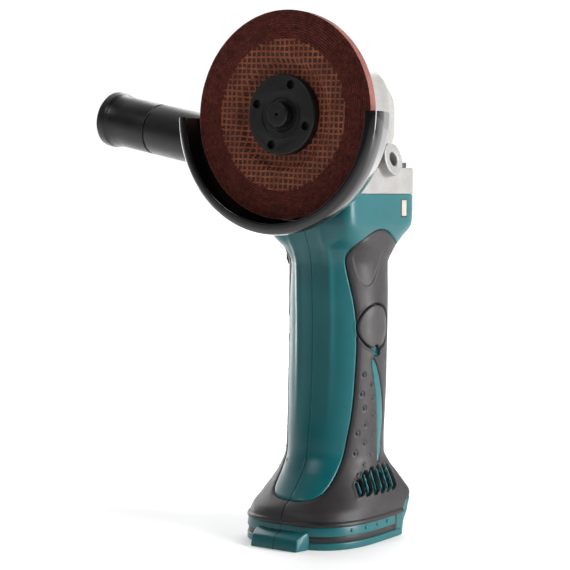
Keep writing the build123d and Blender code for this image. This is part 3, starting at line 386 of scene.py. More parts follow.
def make_table():
    """The right half of the outline at every height, at even steps along its length."""
    phi = np.radians(np.linspace(-90, 90, 1441))
    grid_phi, grid_z = np.meshgrid(phi, TABLE_Z)
    x, y = section(grid_phi, grid_z)
    run = np.cumsum(np.hypot(np.diff(x, axis=1), np.diff(y, axis=1)), 1)
    length = np.concatenate([np.zeros((len(TABLE_Z), 1)), run], 1)
    xs = np.array([np.interp(TABLE_T * l[-1], l, a) for l, a in zip(length, x)])
    ys = np.array([np.interp(TABLE_T * l[-1], l, a) for l, a in zip(length, y)])
    return xs, ys, length[:, -1]


TABLE_X, TABLE_Y, TABLE_L = make_table()


def skin_length(z):
    """Half way round the outline at height z."""
    return np.interp(z, TABLE_Z, TABLE_L)


def skin_point(u, z):
    """The point u millimetres round the right side from the front seam, at height z.
    Minus u is the left side."""
    u, z = np.broadcast_arrays(np.asarray(u, float), np.asarray(z, float))
    t = np.clip(np.abs(u) / skin_length(z), 0, 1) * (len(TABLE_T) - 1)
    w = np.clip(z / GRIP_TOP, 0, 1) * (len(TABLE_Z) - 1)
    i, j = np.minimum(t.astype(int), len(TABLE_T) - 2), np.minimum(w.astype(int), len(TABLE_Z) - 2)
    a, b = t - i, w - j
    out = []
    for table in (TABLE_X, TABLE_Y):
        out.append((1 - a) * (1 - b) * table[j, i] + a * (1 - b) * table[j, i + 1]
                   + (1 - a) * b * table[j + 1, i] + a * b * table[j + 1, i + 1])
    return np.stack([np.where(u < 0, -out[0], out[0]), out[1], z], -1)


def skin_normal(u, z):
    """The outward direction of the right side's surface."""
    step = 0.6
    top = skin_length(z)
    across = skin_point(np.minimum(u + step, top), z) - skin_point(np.maximum(u - step, 0), z)
    flat = np.where(np.abs(across[..., :1]) + np.abs(across[..., 1:2]) < 1e-9, np.array((1.0, 0, 0)), across)
    share = u / top
    high, low = np.minimum(z + step, GRIP_TOP), np.maximum(z - step, 0)
    along = skin_point(share * skin_length(high), high) - skin_point(share * skin_length(low), low)
    normal = np.cross(flat, along)
    normal /= np.maximum(np.linalg.norm(normal, axis=-1, keepdims=True), 1e-9)
    return normal


def smooth_line(points, rounds=3, closed=False):
    """A line with its corners cut, over and over."""
    p = np.array(points, float)
    for _ in range(rounds):
        a = p if closed else p[:-1]
        b = np.roll(p, -1, axis=0) if closed else p[1:]
        cut = np.stack([0.75 * a + 0.25 * b, 0.25 * a + 0.75 * b], 1).reshape(-1, 2)
        p = cut if closed else np.vstack([p[:1], cut, p[-1:]])
    return p


def signed(points, u, z):
    """Distance to a closed outline in the (u, z) plane, below zero inside."""
    q = np.stack([u, z], -1).reshape(-1, 2)
    best = np.full(len(q), 1e9)
    inside = np.zeros(len(q), bool)
    n = len(points)
    for i in range(n):
        a, b = points[i], points[(i + 1) % n]
        ab = b - a
        length = ab @ ab
        if length < 1e-12:
            continue
        t = np.clip(((q - a) @ ab) / length, 0, 1)
        best = np.minimum(best, np.hypot(*(q - a - t[:, None] * ab).T))
        crosses = (a[1] > q[:, 1]) != (b[1] > q[:, 1])
        at = a[0] + (q[:, 1] - a[1]) / (b[1] - a[1] if abs(b[1] - a[1]) > 1e-12 else 1e-12) * ab[0]
        inside ^= crosses & (q[:, 0] < at)
    return np.where(inside, -best, best).reshape(np.shape(u))


# The rubber's edge, from the front seam up round the teal tongue and over the top to the back seam.
RUBBER_EDGE = smooth_line([
    (-6, 25.2), (4, 25.2), (9.7, 25.7), (14.7, 27.0), (17.3, 29), (19, 32), (19.9, 36), (20.7, 41),
    (21.4, 46), (22.4, 52), (23.5, 60), (24.7, 69), (25.4, 78), (26.1, 93), (26.7, 108), (26.6, 120),
    (26, 128), (25, 136), (23.3, 143.5), (21.6, 151), (20.3, 158), (21.4, 162.4), (25.1, 166), (32.9, 170),
    (44.3, 174.2), (54, 176.8),
    (61.5, 177.3), (67.5, 174.8), (69.4, 170.5), (73, 167), (80, 165.5), (150, 165.5)])
# Where the rubber ends above the foot: at the lip round the sides, and higher across the back.
LOW_EDGE = smooth_line([(150, 22.4), (100, 22.4), (96.4, 21.6), (94.2, 19.6), (91.6, 14), (90.8, 8)], 2)
RUBBER_OUTLINE = np.vstack([RUBBER_EDGE, LOW_EDGE, [(90, 0), (-6, 0)]])
THUMB = smooth_line([
    (24.8, 162), (25.6, 156), (27.6, 149.6), (31.2, 144.8), (36.2, 144.8), (40.6, 150.5), (44.2, 158.5),
    (48.6, 165.5), (53.0, 171.0), (50, 172.4), (42, 170.2), (34, 167.0), (28, 164.4)], 3, True)
LENS = smooth_line([(37.6, 104.0), (36.9, 100.5), (38.6, 94), (40.6, 86), (43.6, 72), (46.0, 58), (47.2, 48),
                    (48.4, 42.2), (50.6, 45), (51.9, 50.5), (51.6, 56), (52.6, 64), (52.2, 70), (48.6, 82),
                    (44.7, 92.5),
                    (41.0, 100.5)], 2, True)
STUDS = [(31.5, 94.2), (37.6, 88.2), (30.6, 83.2), (39.1, 80.5), (32.8, 75), (40.2, 70.8), (34.7, 65.5),
         (29.3, 60.8), (41.5, 60), (34.8, 54.8), (28.8, 49.5), (40.3, 48.5), (36.3, 43), (33.9, 38)]
VENTS = [((35.9, 34.0), (41.2, 28.6)), ((38.6, 37.8), (46.8, 28.6)), ((43.2, 39.4), (53.0, 28.6)),
         ((48.8, 39.8), (59.2, 28.6)), ((54.4, 39.8), (65.2, 28.6)), ((60.0, 39.8), (71.2, 28.6))]
VENT_HALF = 1.75
COVER_AT = (-3.0, 121.5)   # middle of the brush covers, as (y, z)
COVER_HOLE_R = 13.3
NOTCH_DROP = 14.2          # from there down to the middle of the pry notch
KNOB_AT = (-2.0, 166.5)    # middle of the slide's window, as (y, z)
KNOB_HALF = (7.0, 12.6)
SIDE_END = 75              # how far round the side's features can reach; past it the back begins
FAR = 99


def slot_distance(u, z, ends, radius):
    """Distance to a round-ended slot, below zero inside."""
    a, b = np.array(ends[0]), np.array(ends[1])
    q = np.stack([u, z], -1) - a
    ab = b - a
    t = np.clip((q @ ab) / (ab @ ab), 0, 1)
    return np.hypot(q[..., 0] - t * ab[0], q[..., 1] - t * ab[1]) - radius


def cliff(distance, soft):
    """One well inside an outline, nothing outside it, and a smooth step between."""
    t = np.clip(0.5 - distance / soft, 0, 1)
    return t * t * (3 - 2 * t)


def groove(distance, half):
    """One on a line, falling smoothly to nothing at half to each side."""
    t = np.clip(1 - np.abs(distance) / half, 0, 1)
    return t * t * (3 - 2 * t)


def features(u, z, left):
    """How far the surface stands out at each point, and which parts of it are teal."""
    point = skin_point(u, z)
    rubber = signed(RUBBER_OUTLINE, u, z)
    lens = signed(LENS, u, z)
    vents = np.minimum.reduce([slot_distance(u, z, ends, VENT_HALF) for ends in VENTS])
    height = -0.9 * groove(rubber, 0.8) - 0.5 * groove(lens, 0.7)
    height += 0.35 * cliff(rubber + 1.6, 2.6) * (1 - cliff(lens - 0.5, 1.4))
    thumb = signed(THUMB, u, z)
    open_top = np.clip((171 - z) / 14, 0.15, 1)
    height -= (0.75 * cliff(thumb, 1.4) - 0.16 * groove(thumb - 0.3, 0.9)) * open_top
    for at in STUDS:
        away = np.hypot(u - at[0], z - at[1])
        height += 0.4 * cliff(away - 0.6, 1.0) - 0.4 * groove(away - 1.3, 0.6)
    height -= 3.2 * cliff(vents, 0.75) - 2.5 * cliff(vents + 1.15, 0.6)
    height += 0.25 * groove(vents - 0.9, 1.0)
    cover = np.hypot(point[..., 1] - COVER_AT[0], z - COVER_AT[1]) - COVER_HOLE_R
    cover = np.where(u < SIDE_END, cover, FAR)
    notch = np.maximum(np.abs(point[..., 1] - COVER_AT[0]) - 2.4, np.abs(z - COVER_AT[1] + NOTCH_DROP) - 2.6)
    notch = np.where(u < SIDE_END, notch, FAR)
    hole = np.minimum(cover, notch)
    height -= 2.6 * cliff(hole, 0.8) * (u < SIDE_END)
    height += 0.3 * groove(cover - 0.8, 1.0)
    if left:
        beside = np.abs(point[..., 1] - KNOB_AT[0]) - KNOB_HALF[0]
        window = np.maximum(beside, np.abs(z - KNOB_AT[1]) - KNOB_HALF[1])
        window = np.where(u < SIDE_END, window, FAR)
        height -= 2.4 * cliff(window, 0.8)
    fade = np.clip((z - 60) / 60, 0, 1) * np.clip((181 - z) / 10, 0, 1)
    height += 0.9 * fade * np.exp(-((u - 11.0) / 2.2) ** 2)
    height -= 0.45 * groove(u, 0.55)
    back = skin_length(z) - u
    height -= 0.45 * groove(back, 0.55)
    teal = np.minimum(np.minimum(-rubber, lens), vents + 0.25)
    teal = np.minimum(teal, notch)
    return height, teal


SKIN_LOW = 12.6            # the skin's lower edge, hidden by the foot's lip
SKIN_T = 2.0


def skin_grid(left):
    """A fine grid over one half of the grip, its lines drawn on to the border between teal and rubber."""
    rows = int(round((GRIP_TOP - SKIN_LOW) / 0.6)) + 1
    columns = 236
    z = np.linspace(SKIN_LOW, GRIP_TOP, rows)[:, None] * np.ones((1, columns))
    share = np.linspace(0, 1, columns)[None, :] * np.ones((rows, 1))
    u = share * skin_length(z)
    cell = 0.55
    e = 0.05
    _, teal = features(u, z, left)
    for _ in range(2):
        _, du = features(u + e, z, left)
        _, dz = features(u, z + e, left)
        gu, gz = (du - teal) / e, (dz - teal) / e
        size = np.maximum(np.hypot(gu, gz), 0.3)
        near = (np.abs(teal) < 0.55 * cell) & (share > 0.004) & (share < 0.996)
        near &= (z > SKIN_LOW + 0.3) & (z < GRIP_TOP - 2)
        shift = np.where(near, teal, 0)
        u = u - shift * gu / size**2
        z = z - shift * gz / size**2
        _, teal = features(u, z, left)
    height, teal = features(u, z, left)
    point = skin_point(u, z)
    normal = skin_normal(u, z)
    point = point + normal * height[..., None]
    inner = point - normal * SKIN_T
    for block in (point, inner):
        block[:, 0, 0] = 0
        block[:, -1, 0] = 0
    if left:
        point[..., 0] *= -1
        inner[..., 0] *= -1
    return point, inner, teal


def skin_pieces(side):
    """The teal part of one half and its rubber, each a closed sheet with its own thickness."""
    left = side == "left"
    outer, inner, teal = skin_grid(left)
    rows, columns = teal.shape
    index = np.arange(rows * columns).reshape(rows, columns)
    quads = np.stack([index[:-1, :-1], index[:-1, 1:], index[1:, 1:], index[1:, :-1]], -1).reshape(-1, 4)
    tone = np.clip(teal, -0.4, 0.4).reshape(-1)[quads].sum(1)
    total = rows * columns
    both = np.vstack([outer.reshape(-1, 3), inner.reshape(-1, 3)])
    for is_rubber in (False, True):
        chosen = quads[(tone > 0) == is_rubber]
        edges = np.concatenate([chosen[:, [0, 1]], chosen[:, [1, 2]], chosen[:, [2, 3]], chosen[:, [3, 0]]])
        key = np.sort(edges, 1)
        _, first, count = np.unique(key[:, 0] * total + key[:, 1], return_index=True, return_counts=True)
        rim = edges[first[count == 1]]
        walls = np.stack([rim[:, 1], rim[:, 0], rim[:, 0] + total, rim[:, 1] + total], 1)
        faces = np.vstack([chosen, chosen[:, ::-1] + total, walls])
        used, flat = np.unique(faces, return_inverse=True)
        flat = flat.reshape(-1, 4)
        if left:
            flat = flat[:, ::-1]
        name = ("rubber_skin_" if is_rubber else "teal_skin_") + side
        mesh = bpy.data.meshes.new(name)
        mesh.from_pydata((both[used] * MM).tolist(), [], flat.tolist())
        mesh.validate()
        if is_rubber:
            finished(name, mesh, RUBBER, "housing", ("rubber_grip_" + side,), 62)
        else:
            finished(name, mesh, TEAL, "housing", (), 62)


def lining(side):
    """The CAD half shell with its bosses and battery rails, drawn in under the skin."""
    clearance = 3.0
    node = "grip_shell_" + side
    mesh = NODES[node].data.copy()
    count = len(mesh.vertices)
    co = np.zeros(count * 3)
    mesh.vertices.foreach_get("co", co)
    p = co.reshape(-1, 3) / MM
    z = np.clip(p[:, 2], 0, GRIP_TOP)
    middle = pchip(STATIONS[:, 0], STATIONS[:, 4], z)
    phi = np.arctan2(p[:, 1] - middle, np.abs(p[:, 0]))
    x, y = section(phi, z)
    limit = np.hypot(x, y - middle)
    r = np.hypot(p[:, 0], p[:, 1] - middle)
    factor = np.minimum(1, (limit - clearance) / np.maximum(r, 1e-6))
    p[:, 0] *= factor
    p[:, 1] = middle + (p[:, 1] - middle) * factor
    p[:, 2] = np.clip(p[:, 2], 0.3, GRIP_TOP - 0.4)
    mesh.vertices.foreach_set("co", (p * MM).reshape(-1))
    mesh.update()
    return finished("shell_lining_" + side, mesh, TEAL, "housing", (node,), 30)


for side in ("right", "left"):
    skin_pieces(side)
    lining(side)


# ---- the foot -------------------------------------------------------------------
def sweep(name, profile, start, end, material, step=0.8, dip=True):
    """A bar that follows the grip's outline from one point to another. Its section is (height, stand-off).
    With dip, it is drawn in a little where it crosses the front seam."""
    profile = rounded(profile, 0.25, 2)
    count = max(3, int(abs(end - start) / step) + 1)
    u = np.linspace(start, end, count)
    if start < 0 < end:
        u[np.argmin(np.abs(u))] = 0
    verts, faces = [], []
    n = len(profile)
    for a in u:
        for z, off in profile:
            normal = skin_normal(np.array([abs(a)]), np.array([z]))[0]
            flat = np.array((normal[0], normal[1], 0))
            flat /= max(np.linalg.norm(flat), 1e-9)
            if a < 0:
                flat[0] *= -1
            if abs(a) < 0.01:
                flat = np.array((0, -1.0, 0))
            drop = 0.4 if dip and abs(a) < 0.3 and off > -1.5 else 0.0
            verts.append(skin_point(np.array([a]), np.array([z]))[0] + flat * (off - drop))
    for i in range(count - 1):
        for k in range(n):
            m = (k + 1) % n
            faces.append((i * n + k, i * n + m, (i + 1) * n + m, (i + 1) * n + k))
    faces.append(tuple(range(n)))
    faces.append(tuple((count - 1) * n + k for k in reversed(range(n))))
    return piece(name, verts, faces, material, "housing", (), 35)


LIP = [(12.9, -2), (12.9, 0.7), (13.3, 1.25), (14.5, 1.35), (15.3, 0.9), (15.8, 0.0), (16.2, -0.6),
       (16.2, -2)]
BAND = [(7.5, -2), (7.5, 0.35), (7.9, 0.6), (12.6, 0.35), (13.0, 0.1), (13.0, -2)]
STRIPE = [(4.0, -2), (4.0, -0.1), (7.6, 0.0), (7.6, -2)]
FLANGE = [(0.0, -2), (0.0, 0.2), (0.3, 0.6), (3.5, 0.6), (4.0, 0.35), (4.1, -2)]
REAR_WALL = [(0.0, -2.2), (0.0, 0.0), (12.8, 0.0), (12.8, -2.2)]
STRIPE_CAP = [(4.0, -2), (4.0, 0.1), (13.2, 0.3), (13.2, -2)]
STRIPE_START = 17.5
BAND_END = 83.0
STRIPE_END = 85.6
REAR_END = 130.7

sweep("foot_lip", LIP, -91.0, 91.0, TRIM)
sweep("foot_band", BAND, -BAND_END, BAND_END, TEAL)
sweep("foot_flange", FLANGE, -89.5, 89.5, TEAL)
for sign, side in ((1, "right"), (-1, "left")):
    ends = sorted((sign * STRIPE_START, sign * STRIPE_END))
    sweep("foot_stripe_" + side, STRIPE, ends[0], ends[1], TRIM)
    ends = sorted((sign * BAND_END, sign * STRIPE_END))
    sweep("foot_stripe_end_" + side, STRIPE_CAP, ends[0], ends[1], TRIM, 0.5)
    ends = sorted((sign * STRIPE_END, sign * REAR_END))
    sweep("foot_rear_" + side, REAR_WALL, ends[0], ends[1], TEAL, 0.8, False)


def dots_on_band():
    """Four small raised dots on each side of the foot's band."""
    dome = [(0.0, 0.0), (0.0, 1.15), (0.62, 1.05), (0.95, 0.75), (1.1, 0.4), (1.15, 0.0)]
    verts, faces = [], []
    for sign in (1, -1):
        for u, z in ((42.5, 10.4), (53.5, 10.5), (64.0, 10.6), (74.5, 10.7)):
            at = skin_point(np.array([u]), np.array([z]))[0]
            normal = skin_normal(np.array([u]), np.array([z]))[0]
            at, normal = at * (sign, 1, 1), normal * (sign, 1, 1)
            v, f = lathe(dome, at, normal, 20)
            faces += [[i + len(verts) for i in g] for g in f]
            verts += v
    return piece("foot_dots", verts, faces, TEAL, "housing", (), 50)


dots_on_band()


def nose():
    """The block at the front of the foot, that the battery's catch meets."""
    corners = []
    for x in (-1, 1):
        corners += [(x * 17.6, -53, 0), (x * 17.6, -56.6, 0), (x * 15.6, -65.7, 0), (x * 14.9, -64.3, 6.8),
                    (x * 17.0, -57.6, 9.7), (x * 17.6, -53, 9.8)]
    return block("foot_nose", corners, 0.8, 3, TEAL, "teal_plastic")


nose()


def seam_on_nose():
    """The dark parting line down the middle of the nose block."""
    line = [(-57.6, 9.75), (-64.3, 6.85), (-65.75, 0.1)]
    verts, faces = [], []
    for x in (-0.22, 0.22):
        for y, z in line:
            verts.append((x, y - 0.06, z + 0.03))
        for y, z in line:
            verts.append((x, y + 1.0, max(z - 0.4, 0.05)))
    n = len(line)
    ring = list(range(n)) + [n + k for k in reversed(range(n))]
    faces.append(ring)
    faces.append([2 * n + k for k in reversed(ring)])
    for k in range(2 * n):
        a, b = ring[k], ring[(k + 1) % (2 * n)]
        faces.append((a, b, b + 2 * n, a + 2 * n))
    return piece("nose_seam", verts, faces, INNER, "housing", (), 30)


seam_on_nose()


# ---- brush covers, plates in the block ------------------------------------------
def side_reach(y, z):
    """How far the grip's side stands from the middle plane at (y, z)."""
    share = np.linspace(0, 1, 300)
    points = skin_point(share * skin_length(z), np.full(300, float(z)))
    return float(np.interp(y, points[:, 1], points[:, 0]))


def brush_cover(sign, side):
    """A round cover bent to the side's curve, with a bite out of its lower edge for prying it off."""
    face = 28.65
    bite_from = 10.2
    bite_half = 1.9
    profile = rounded([(-2.2, 0.0, 0), (-2.2, 12.2), (-0.5, 12.35), (0.12, 11.9, 0.3), (0.3, 8.0, 0.1),
                       (0.42, 0.0, 0)], 0.3)
    verts, faces = lathe(profile, (sign * face, *COVER_AT), (sign, 0, 0), 120)
    for v in verts:
        v[0] += sign * (side_reach(v[1], v[2]) - side_reach(*COVER_AT))
        away = COVER_AT[1] - v[2]
        if abs(v[1] - COVER_AT[0]) < bite_half and away > bite_from:
            v[2] = COVER_AT[1] - bite_from - 0.1 * (away - bite_from)
    return piece("brush_cover_cap_" + side, verts, faces, COVER, "brush_cover_" + side,
                 ("brush_cover_" + side,), 35)


for sign, side in ((1, "right"), (-1, "left")):
    brush_cover(sign, side)


def plate_in_block(sign, side):
    """The small pale plate let into each side of the block under the gear case, and its dark frame."""
    root = 29.0
    y0, y1, z0, z1 = 19.6, 25.0, 184.6, 194.0
    plate = [(sign * x, y, z) for x in (root, 31.35) for y in (y0, y1) for z in (z0, z1)]
    block("side_plate_" + side, plate, 0.5, 3, WINDOW, "cast_aluminium")
    y0, y1, z0, z1 = y0 - 0.9, y1 + 0.9, z0 - 0.9, z1 + 0.5
    rim = [(sign * x, y, z) for x in (root, 31.12) for y in (y0, y1) for z in (z0, z1)]
    block("plate_frame_" + side, rim, 0.4, 2, INNER, "inner_plastic")


plate_in_block(1, "right")
plate_in_block(-1, "left")


# ---- side handle ----------------------------------------------------------------
TILT = math.radians(11.6)
BOSS_REACH = 36.95         # from the middle plane to the boss's face, along the handle's axis
HANDLE_AXIS = np.array((-math.cos(TILT), 0, math.sin(TILT)))
HANDLE_BASE = np.array((0, 2.0, 210.0)) + BOSS_REACH * HANDLE_AXIS


def handle():
    """The side handle: a swelling grip with a groove, and a dished flange at its end."""
    profile = rounded([
        (0.1, 4.3, 0), (0.1, 11.9, 0.6), (4.0, 13.4, 2), (14.0, 15.4, 4), (30.0, 15.95, 5),
        (101.6, 15.95, 0.35), (101.9, 15.0, 0.3), (103.1, 15.0, 0.3), (103.4, 15.95, 0.35),
        (127.0, 15.9, 2.5), (133.0, 16.6, 2.5), (135.2, 17.5, 0.9), (136.0, 17.6, 0.5), (140.2, 17.6, 0.8),
        (141.4, 16.9, 0.7), (141.7, 15.4, 0.5), (141.2, 14.6, 0.5), (141.0, 12.0, 0.5), (141.0, 0.0, 0),
        (30.0, 0.0, 0), (30.0, 4.3, 0)], 0.5, 4)
    verts, faces = lathe(profile, HANDLE_BASE, HANDLE_AXIS, 128)
    return piece("handle_grip_turned", verts, faces, HANDLE, "side_handle",
                 ("handle_grip",), 35)


handle()


# ---- wheel ----------------------------------------------------------------------
def wheel_face(r):
    """The y of the wheel's front face at each radius: a sunk middle, a slope and the grinding rim."""
    return np.interp(r, [0, 26.0, 28.0, 31.0, 33.5, 58], [-53.5, -53.5, -53.9, -57.0, -57.75, -57.75])


def wheel():
    """The wheel as one closed ring of turned rows, with a rippled and gritty front."""
    segments = 288
    radii = np.concatenate([np.arange(11.2, 41.0, 0.8), np.arange(41.0, 57.2, 0.2), [57.25, 57.45]])
    angle = 2 * np.pi * np.arange(segments) / segments

    def row(r, y):
        return np.stack([r * np.cos(angle), np.full(segments, 1.0) * y, HEAD_Z + r * np.sin(angle)], -1)

    rng = np.random.default_rng(7)
    bumps = rng.normal(0, 0.055, (len(radii), segments))
    front = []
    for i, r in enumerate(radii):
        wander = 0.3 * np.sin(angle * 2 + 0.6) + 0.12 * np.sin(angle * 7 + r * 0.3)
        ripple = 0.20 * np.sin(2 * np.pi * (r + wander) / 1.35)
        ripple = ripple * np.clip((r - 40.5) / 2, 0, 1) * np.clip((57.2 - r) / 0.8, 0, 1)
        y = wheel_face(r) + 0.22 + ripple + bumps[i] * (r > 41)
        front.append(row(r, y))
    rim = []
    for y in np.arange(-57.2, -52.3, 0.4):
        rim.append(row(57.4 + rng.normal(0, 0.03, segments), y))
    back = []
    for r, y in ((57.2, -52.0), (50, -52.0), (42, -52.0), (34, -51.6), (31, -50.2), (28, -47.9), (26, -47.5),
                 (11.2, -47.5)):
        back.append(row(r, y))
    rings = front + rim + back
    verts = np.array(rings).reshape(-1, 3)
    n = len(rings)
    faces = []
    for i in range(n):
        j = (i + 1) % n
        for k in range(segments):
            m = (k + 1) % segments
            faces.append((i * segments + k, j * segments + k, j * segments + m, i * segments + m))
    obj = piece("wheel_disc", verts, faces, GRIT, "spindle", ("grinding_wheel",), 60)
    obj.data.materials.append(EDGE)
    obj.data.materials.append(RESIN)
    for polygon in obj.data.polygons:
        c = polygon.center
        r = math.hypot(c[0], c[2] - HEAD_Z * MM) / MM
        if r > 57.3:
            polygon.material_index = 1
        elif r < 41.2 and c[1] < -0.0525:
            polygon.material_index = 2
    return obj


wheel()


def wheel_mesh():
    """Woven glass threads laid over the middle of the wheel, in pairs, both ways."""
    pitch = 3.15
    inner, outer = 21.5, 41.6
    rng = np.random.default_rng(11)
    verts, faces = [], []
    lean = math.radians(-3.0)
    for family in (0, 1):
        for line in range(-13, 14):
            offset = line * pitch + rng.normal(0, 0.12)
            for twin in (-1, 1):
                half = math.sqrt(max(outer**2 - offset**2, 0))
                if half < 2:
                    continue
                start = -half + rng.uniform(-0.8, 0.8)
                end = half + rng.uniform(-0.8, 0.8)
                s = np.arange(start, end, 0.6)
                wobble = 0.12 * np.sin(s * 0.21 + line) + 0.08 * np.sin(s * 0.53 + 2 * line + family)
                across = offset + twin * (0.27 + 0.12 * np.cos(2 * np.pi * s / pitch)) + wobble
                a, b = (s, across) if family == 0 else (across, s)
                x = a * math.cos(lean) - b * math.sin(lean)
                z = a * math.sin(lean) + b * math.cos(lean)
                r = np.hypot(x, z)
                weave = 0.16 * np.cos(np.pi * s / pitch + np.pi * line + family * np.pi)
                y = wheel_face(r) - 0.02 + weave
                keep = r > inner
                run = []
                for index in range(len(s)):
                    if keep[index]:
                        run.append(index)
                    if (not keep[index] or index == len(s) - 1) and run:
                        if len(run) > 2:
                            add_thread(verts, faces, [(x[i], y[i], z[i]) for i in run])
                        run = []
    return piece("wheel_threads", verts, faces, MESHING, "spindle", (), 60)


def add_thread(verts, faces, path):
    """A six-sided thread along a path round the wheel's middle, added to a mesh."""
    sides = 6
    base = len(verts)
    path = np.array(path)
    along = np.gradient(path, axis=0)
    along /= np.linalg.norm(along, axis=1, keepdims=True)
    up = np.array((0, -1.0, 0))
    for p, d in zip(path, along):
        side = np.cross(d, up)
        side /= np.linalg.norm(side)
        normal = np.cross(side, d)
        for k in range(sides):
            a = 2 * math.pi * k / sides
            verts.append(p + (0, 0, HEAD_Z) + side * 0.21 * math.cos(a) + normal * 0.24 * math.sin(a))
    count = len(path)
    for i in range(count - 1):
        for k in range(sides):
            m = (k + 1) % sides
            near, far = base + i * sides, base + (i + 1) * sides
            faces.append((near + k, near + m, far + m, far + k))
    faces.append(tuple(base + k for k in range(sides)))
    faces.append(tuple(base + (count - 1) * sides + k for k in reversed(range(sides))))


wheel_mesh()


# ---- guard ----------------------------------------------------------------------
def guard():
    """A half guard pressed from sheet: back plate, wall and rolled lip, with a full collar."""
    out = [(-40.3, 21.1), (-40.3, 56.5), (-41.2, 59.6), (-44.5, 61.2), (-58.0, 65.9), (-63.0, 66.4),
           (-66.4, 65.9), (-67.7, 63.8), (-67.9, 59.9)]
    into = [(-66.4, 60.0), (-66.3, 62.6), (-65.4, 64.0), (-62.8, 64.6), (-58.2, 64.1), (-45.0, 59.5),
            (-42.6, 57.8), (-42.1, 54.5), (-42.1, 21.1)]
    profile = rounded(out + into, 1.6, 4)
    n = len(profile)
    steps = 150
    verts, faces = [], []
    for i in range(steps + 1):
        a = math.pi + math.pi * i / steps
        for y, r in profile:
            verts.append((r * math.cos(a), y, HEAD_Z - 0.05 + r * math.sin(a)))
    for i in range(steps):
        for k in range(n):
            m = (k + 1) % n
            faces.append((i * n + k, i * n + m, (i + 1) * n + m, (i + 1) * n + k))
    faces.append(tuple(range(n)))
    faces.append(tuple(steps * n + k for k in reversed(range(n))))
    collar = rounded([(-42.0, 21.1), (-42.0, 23.1), (-31.2, 23.1), (-31.2, 21.1)], 0.3)
    v, f = lathe(collar, (0, 0, HEAD_Z), (0, 1, 0), 96)
    faces += [[i + len(verts) for i in g] for g in f]
    verts += [tuple(p) for p in v]
    return piece("guard_shell", verts, faces, GUARD, "guard", ("wheel_guard",), 38)


guard()


# ---- castings and small metal parts ---------------------------------------------
cast("gear_housing", CAST)
cast("bearing_box", CAST, 0.55, 5)
for name, material, slot, width in (
        ("lock_nut", OXIDE, "black_flanges", 0.35), ("spindle", OXIDE, "steel", 0.3),
        ("inner_flange", OXIDE, "black_flanges", 0.3), ("guard_band", OXIDE, "steel", 0.25),
        ("guard_clamp_screw", SCREW, "black_screws", 0.2), ("bearing_box_screws", SCREW, "black_screws", 0.2),
        ("gear_housing_screws", SCREW, "black_screws", 0.2), ("lock_button", COVER, "cover_plastic", 0.4),
        ("slide_knob", COVER, "cover_plastic", 0.4), ("handle_stud", STEEL, "steel", 0.2)):
    refined(name, material, width)


# ---- stage, lights and camera ---------------------------------------------------
AZIMUTH, PITCH, ROLL = math.radians(34.985), math.radians(3.231), math.radians(0.1416)
LEVEL = math.cos(PITCH)
BACKWARD = Vector((math.sin(AZIMUTH) * LEVEL, -math.cos(AZIMUTH) * LEVEL, math.sin(PITCH)))


def towards_back(tree, coordinates, start, end, low, high):
    """A ramp from low to high along a level direction fixed in the room, from the front to the back."""
    place = tree.nodes.new("ShaderNodeTexCoord")
    dot = tree.nodes.new("ShaderNodeVectorMath")
    dot.operation = "DOT_PRODUCT"
    dot.inputs[1].default_value = (-math.sin(AZIMUTH), math.cos(AZIMUTH), 0)
    tree.links.new(place.outputs[coordinates], dot.inputs[0])
    spread = tree.nodes.new("ShaderNodeMapRange")
    spread.inputs["From Min"].default_value = start
    spread.inputs["From Max"].default_value = end
    spread.inputs["To Min"].default_value = low
    spread.inputs["To Max"].default_value = high
    tree.links.new(dot.outputs["Value"], spread.inputs["Value"])
    return spread


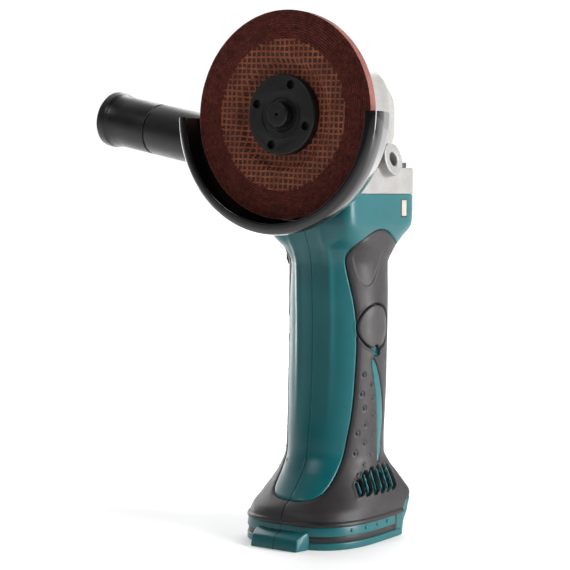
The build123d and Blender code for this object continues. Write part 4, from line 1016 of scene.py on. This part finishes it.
def stage():
    """A pale floor with a faint glow that grows towards the back."""
    bpy.ops.mesh.primitive_plane_add(size=40, location=(0, 0, 0))
    floor = bpy.context.object
    floor.name = "floor"
    white = surface("stage_white", (0.86, 0.86, 0.86), (0.90, 0.90, 0.90), (0.5, 0.6), 0.6, 3, 0.02, 0.1,
                    specular=0.2)
    shader = white.node_tree.nodes["Principled BSDF"]
    shader.inputs["Emission Color"].default_value = (1, 1, 1, 1)
    glow = towards_back(white.node_tree, "Object", -0.30, 1.1, 0.12, 0.95)
    glow.interpolation_type = "SMOOTHSTEP"
    white.node_tree.links.new(glow.outputs["Result"], shader.inputs["Emission Strength"])
    floor.data.materials.append(white)


def light(name, at, aim, size, power):
    """A rectangular lamp, in metres and watts."""
    data = bpy.data.lights.new(name, "AREA")
    data.shape = "RECTANGLE"
    data.size, data.size_y = size
    data.energy = power
    obj = bpy.data.objects.new(name, data)
    bpy.context.scene.collection.objects.link(obj)
    obj.location = Vector(at)
    obj.rotation_euler = (Vector(aim) - Vector(at)).to_track_quat("-Z", "Y").to_euler()


def world():
    """A white studio, darker towards the front, so that black parts stay black."""
    sky = bpy.data.worlds.new("studio")
    bpy.context.scene.world = sky
    sky.use_nodes = True
    background = sky.node_tree.nodes["Background"]
    spread = towards_back(sky.node_tree, "Generated", -0.25, 0.9, 0.035, 1.05)
    sky.node_tree.links.new(spread.outputs["Result"], background.inputs["Strength"])
    background.inputs["Color"].default_value = (1, 1, 1, 1)


def camera():
    """The eye of the main view, about 0.9 m from the tool. Its place is in millimetres."""
    data = bpy.data.cameras.new("camera")
    data.lens = 97.67
    data.sensor_width = 36
    data.clip_end = 50
    obj = bpy.data.objects.new("camera", data)
    bpy.context.scene.collection.objects.link(obj)
    right = Vector((math.cos(AZIMUTH), math.sin(AZIMUTH), 0))
    up = BACKWARD.cross(right)
    right_rolled = math.cos(ROLL) * right + math.sin(ROLL) * up
    up_rolled = -math.sin(ROLL) * right + math.cos(ROLL) * up
    turn = Matrix((right_rolled, up_rolled, BACKWARD)).transposed().to_4x4()
    place = Vector((492.47, -758.04, 195.14))
    obj.matrix_world = Matrix.Translation(place * MM) @ turn
    bpy.context.scene.camera = obj


stage()
world()
light("key", (-0.30, -1.05, 0.95), (0, 0, 0.24), (0.30, 0.22), 2.6)
light("side_left", (-0.90, 0.30, 0.35), (0, 0, 0.15), (0.25, 1.0), 4.0)
light("side_right", (1.0, 0.22, 0.45), (0, 0, 0.12), (0.40, 0.9), 17.0)
light("floor_wash", (-0.5, 1.2, 1.3), (0, 0.35, 0), (1.0, 1.0), 12.0)
camera()
bpy.context.scene.view_settings.view_transform = "Standard"
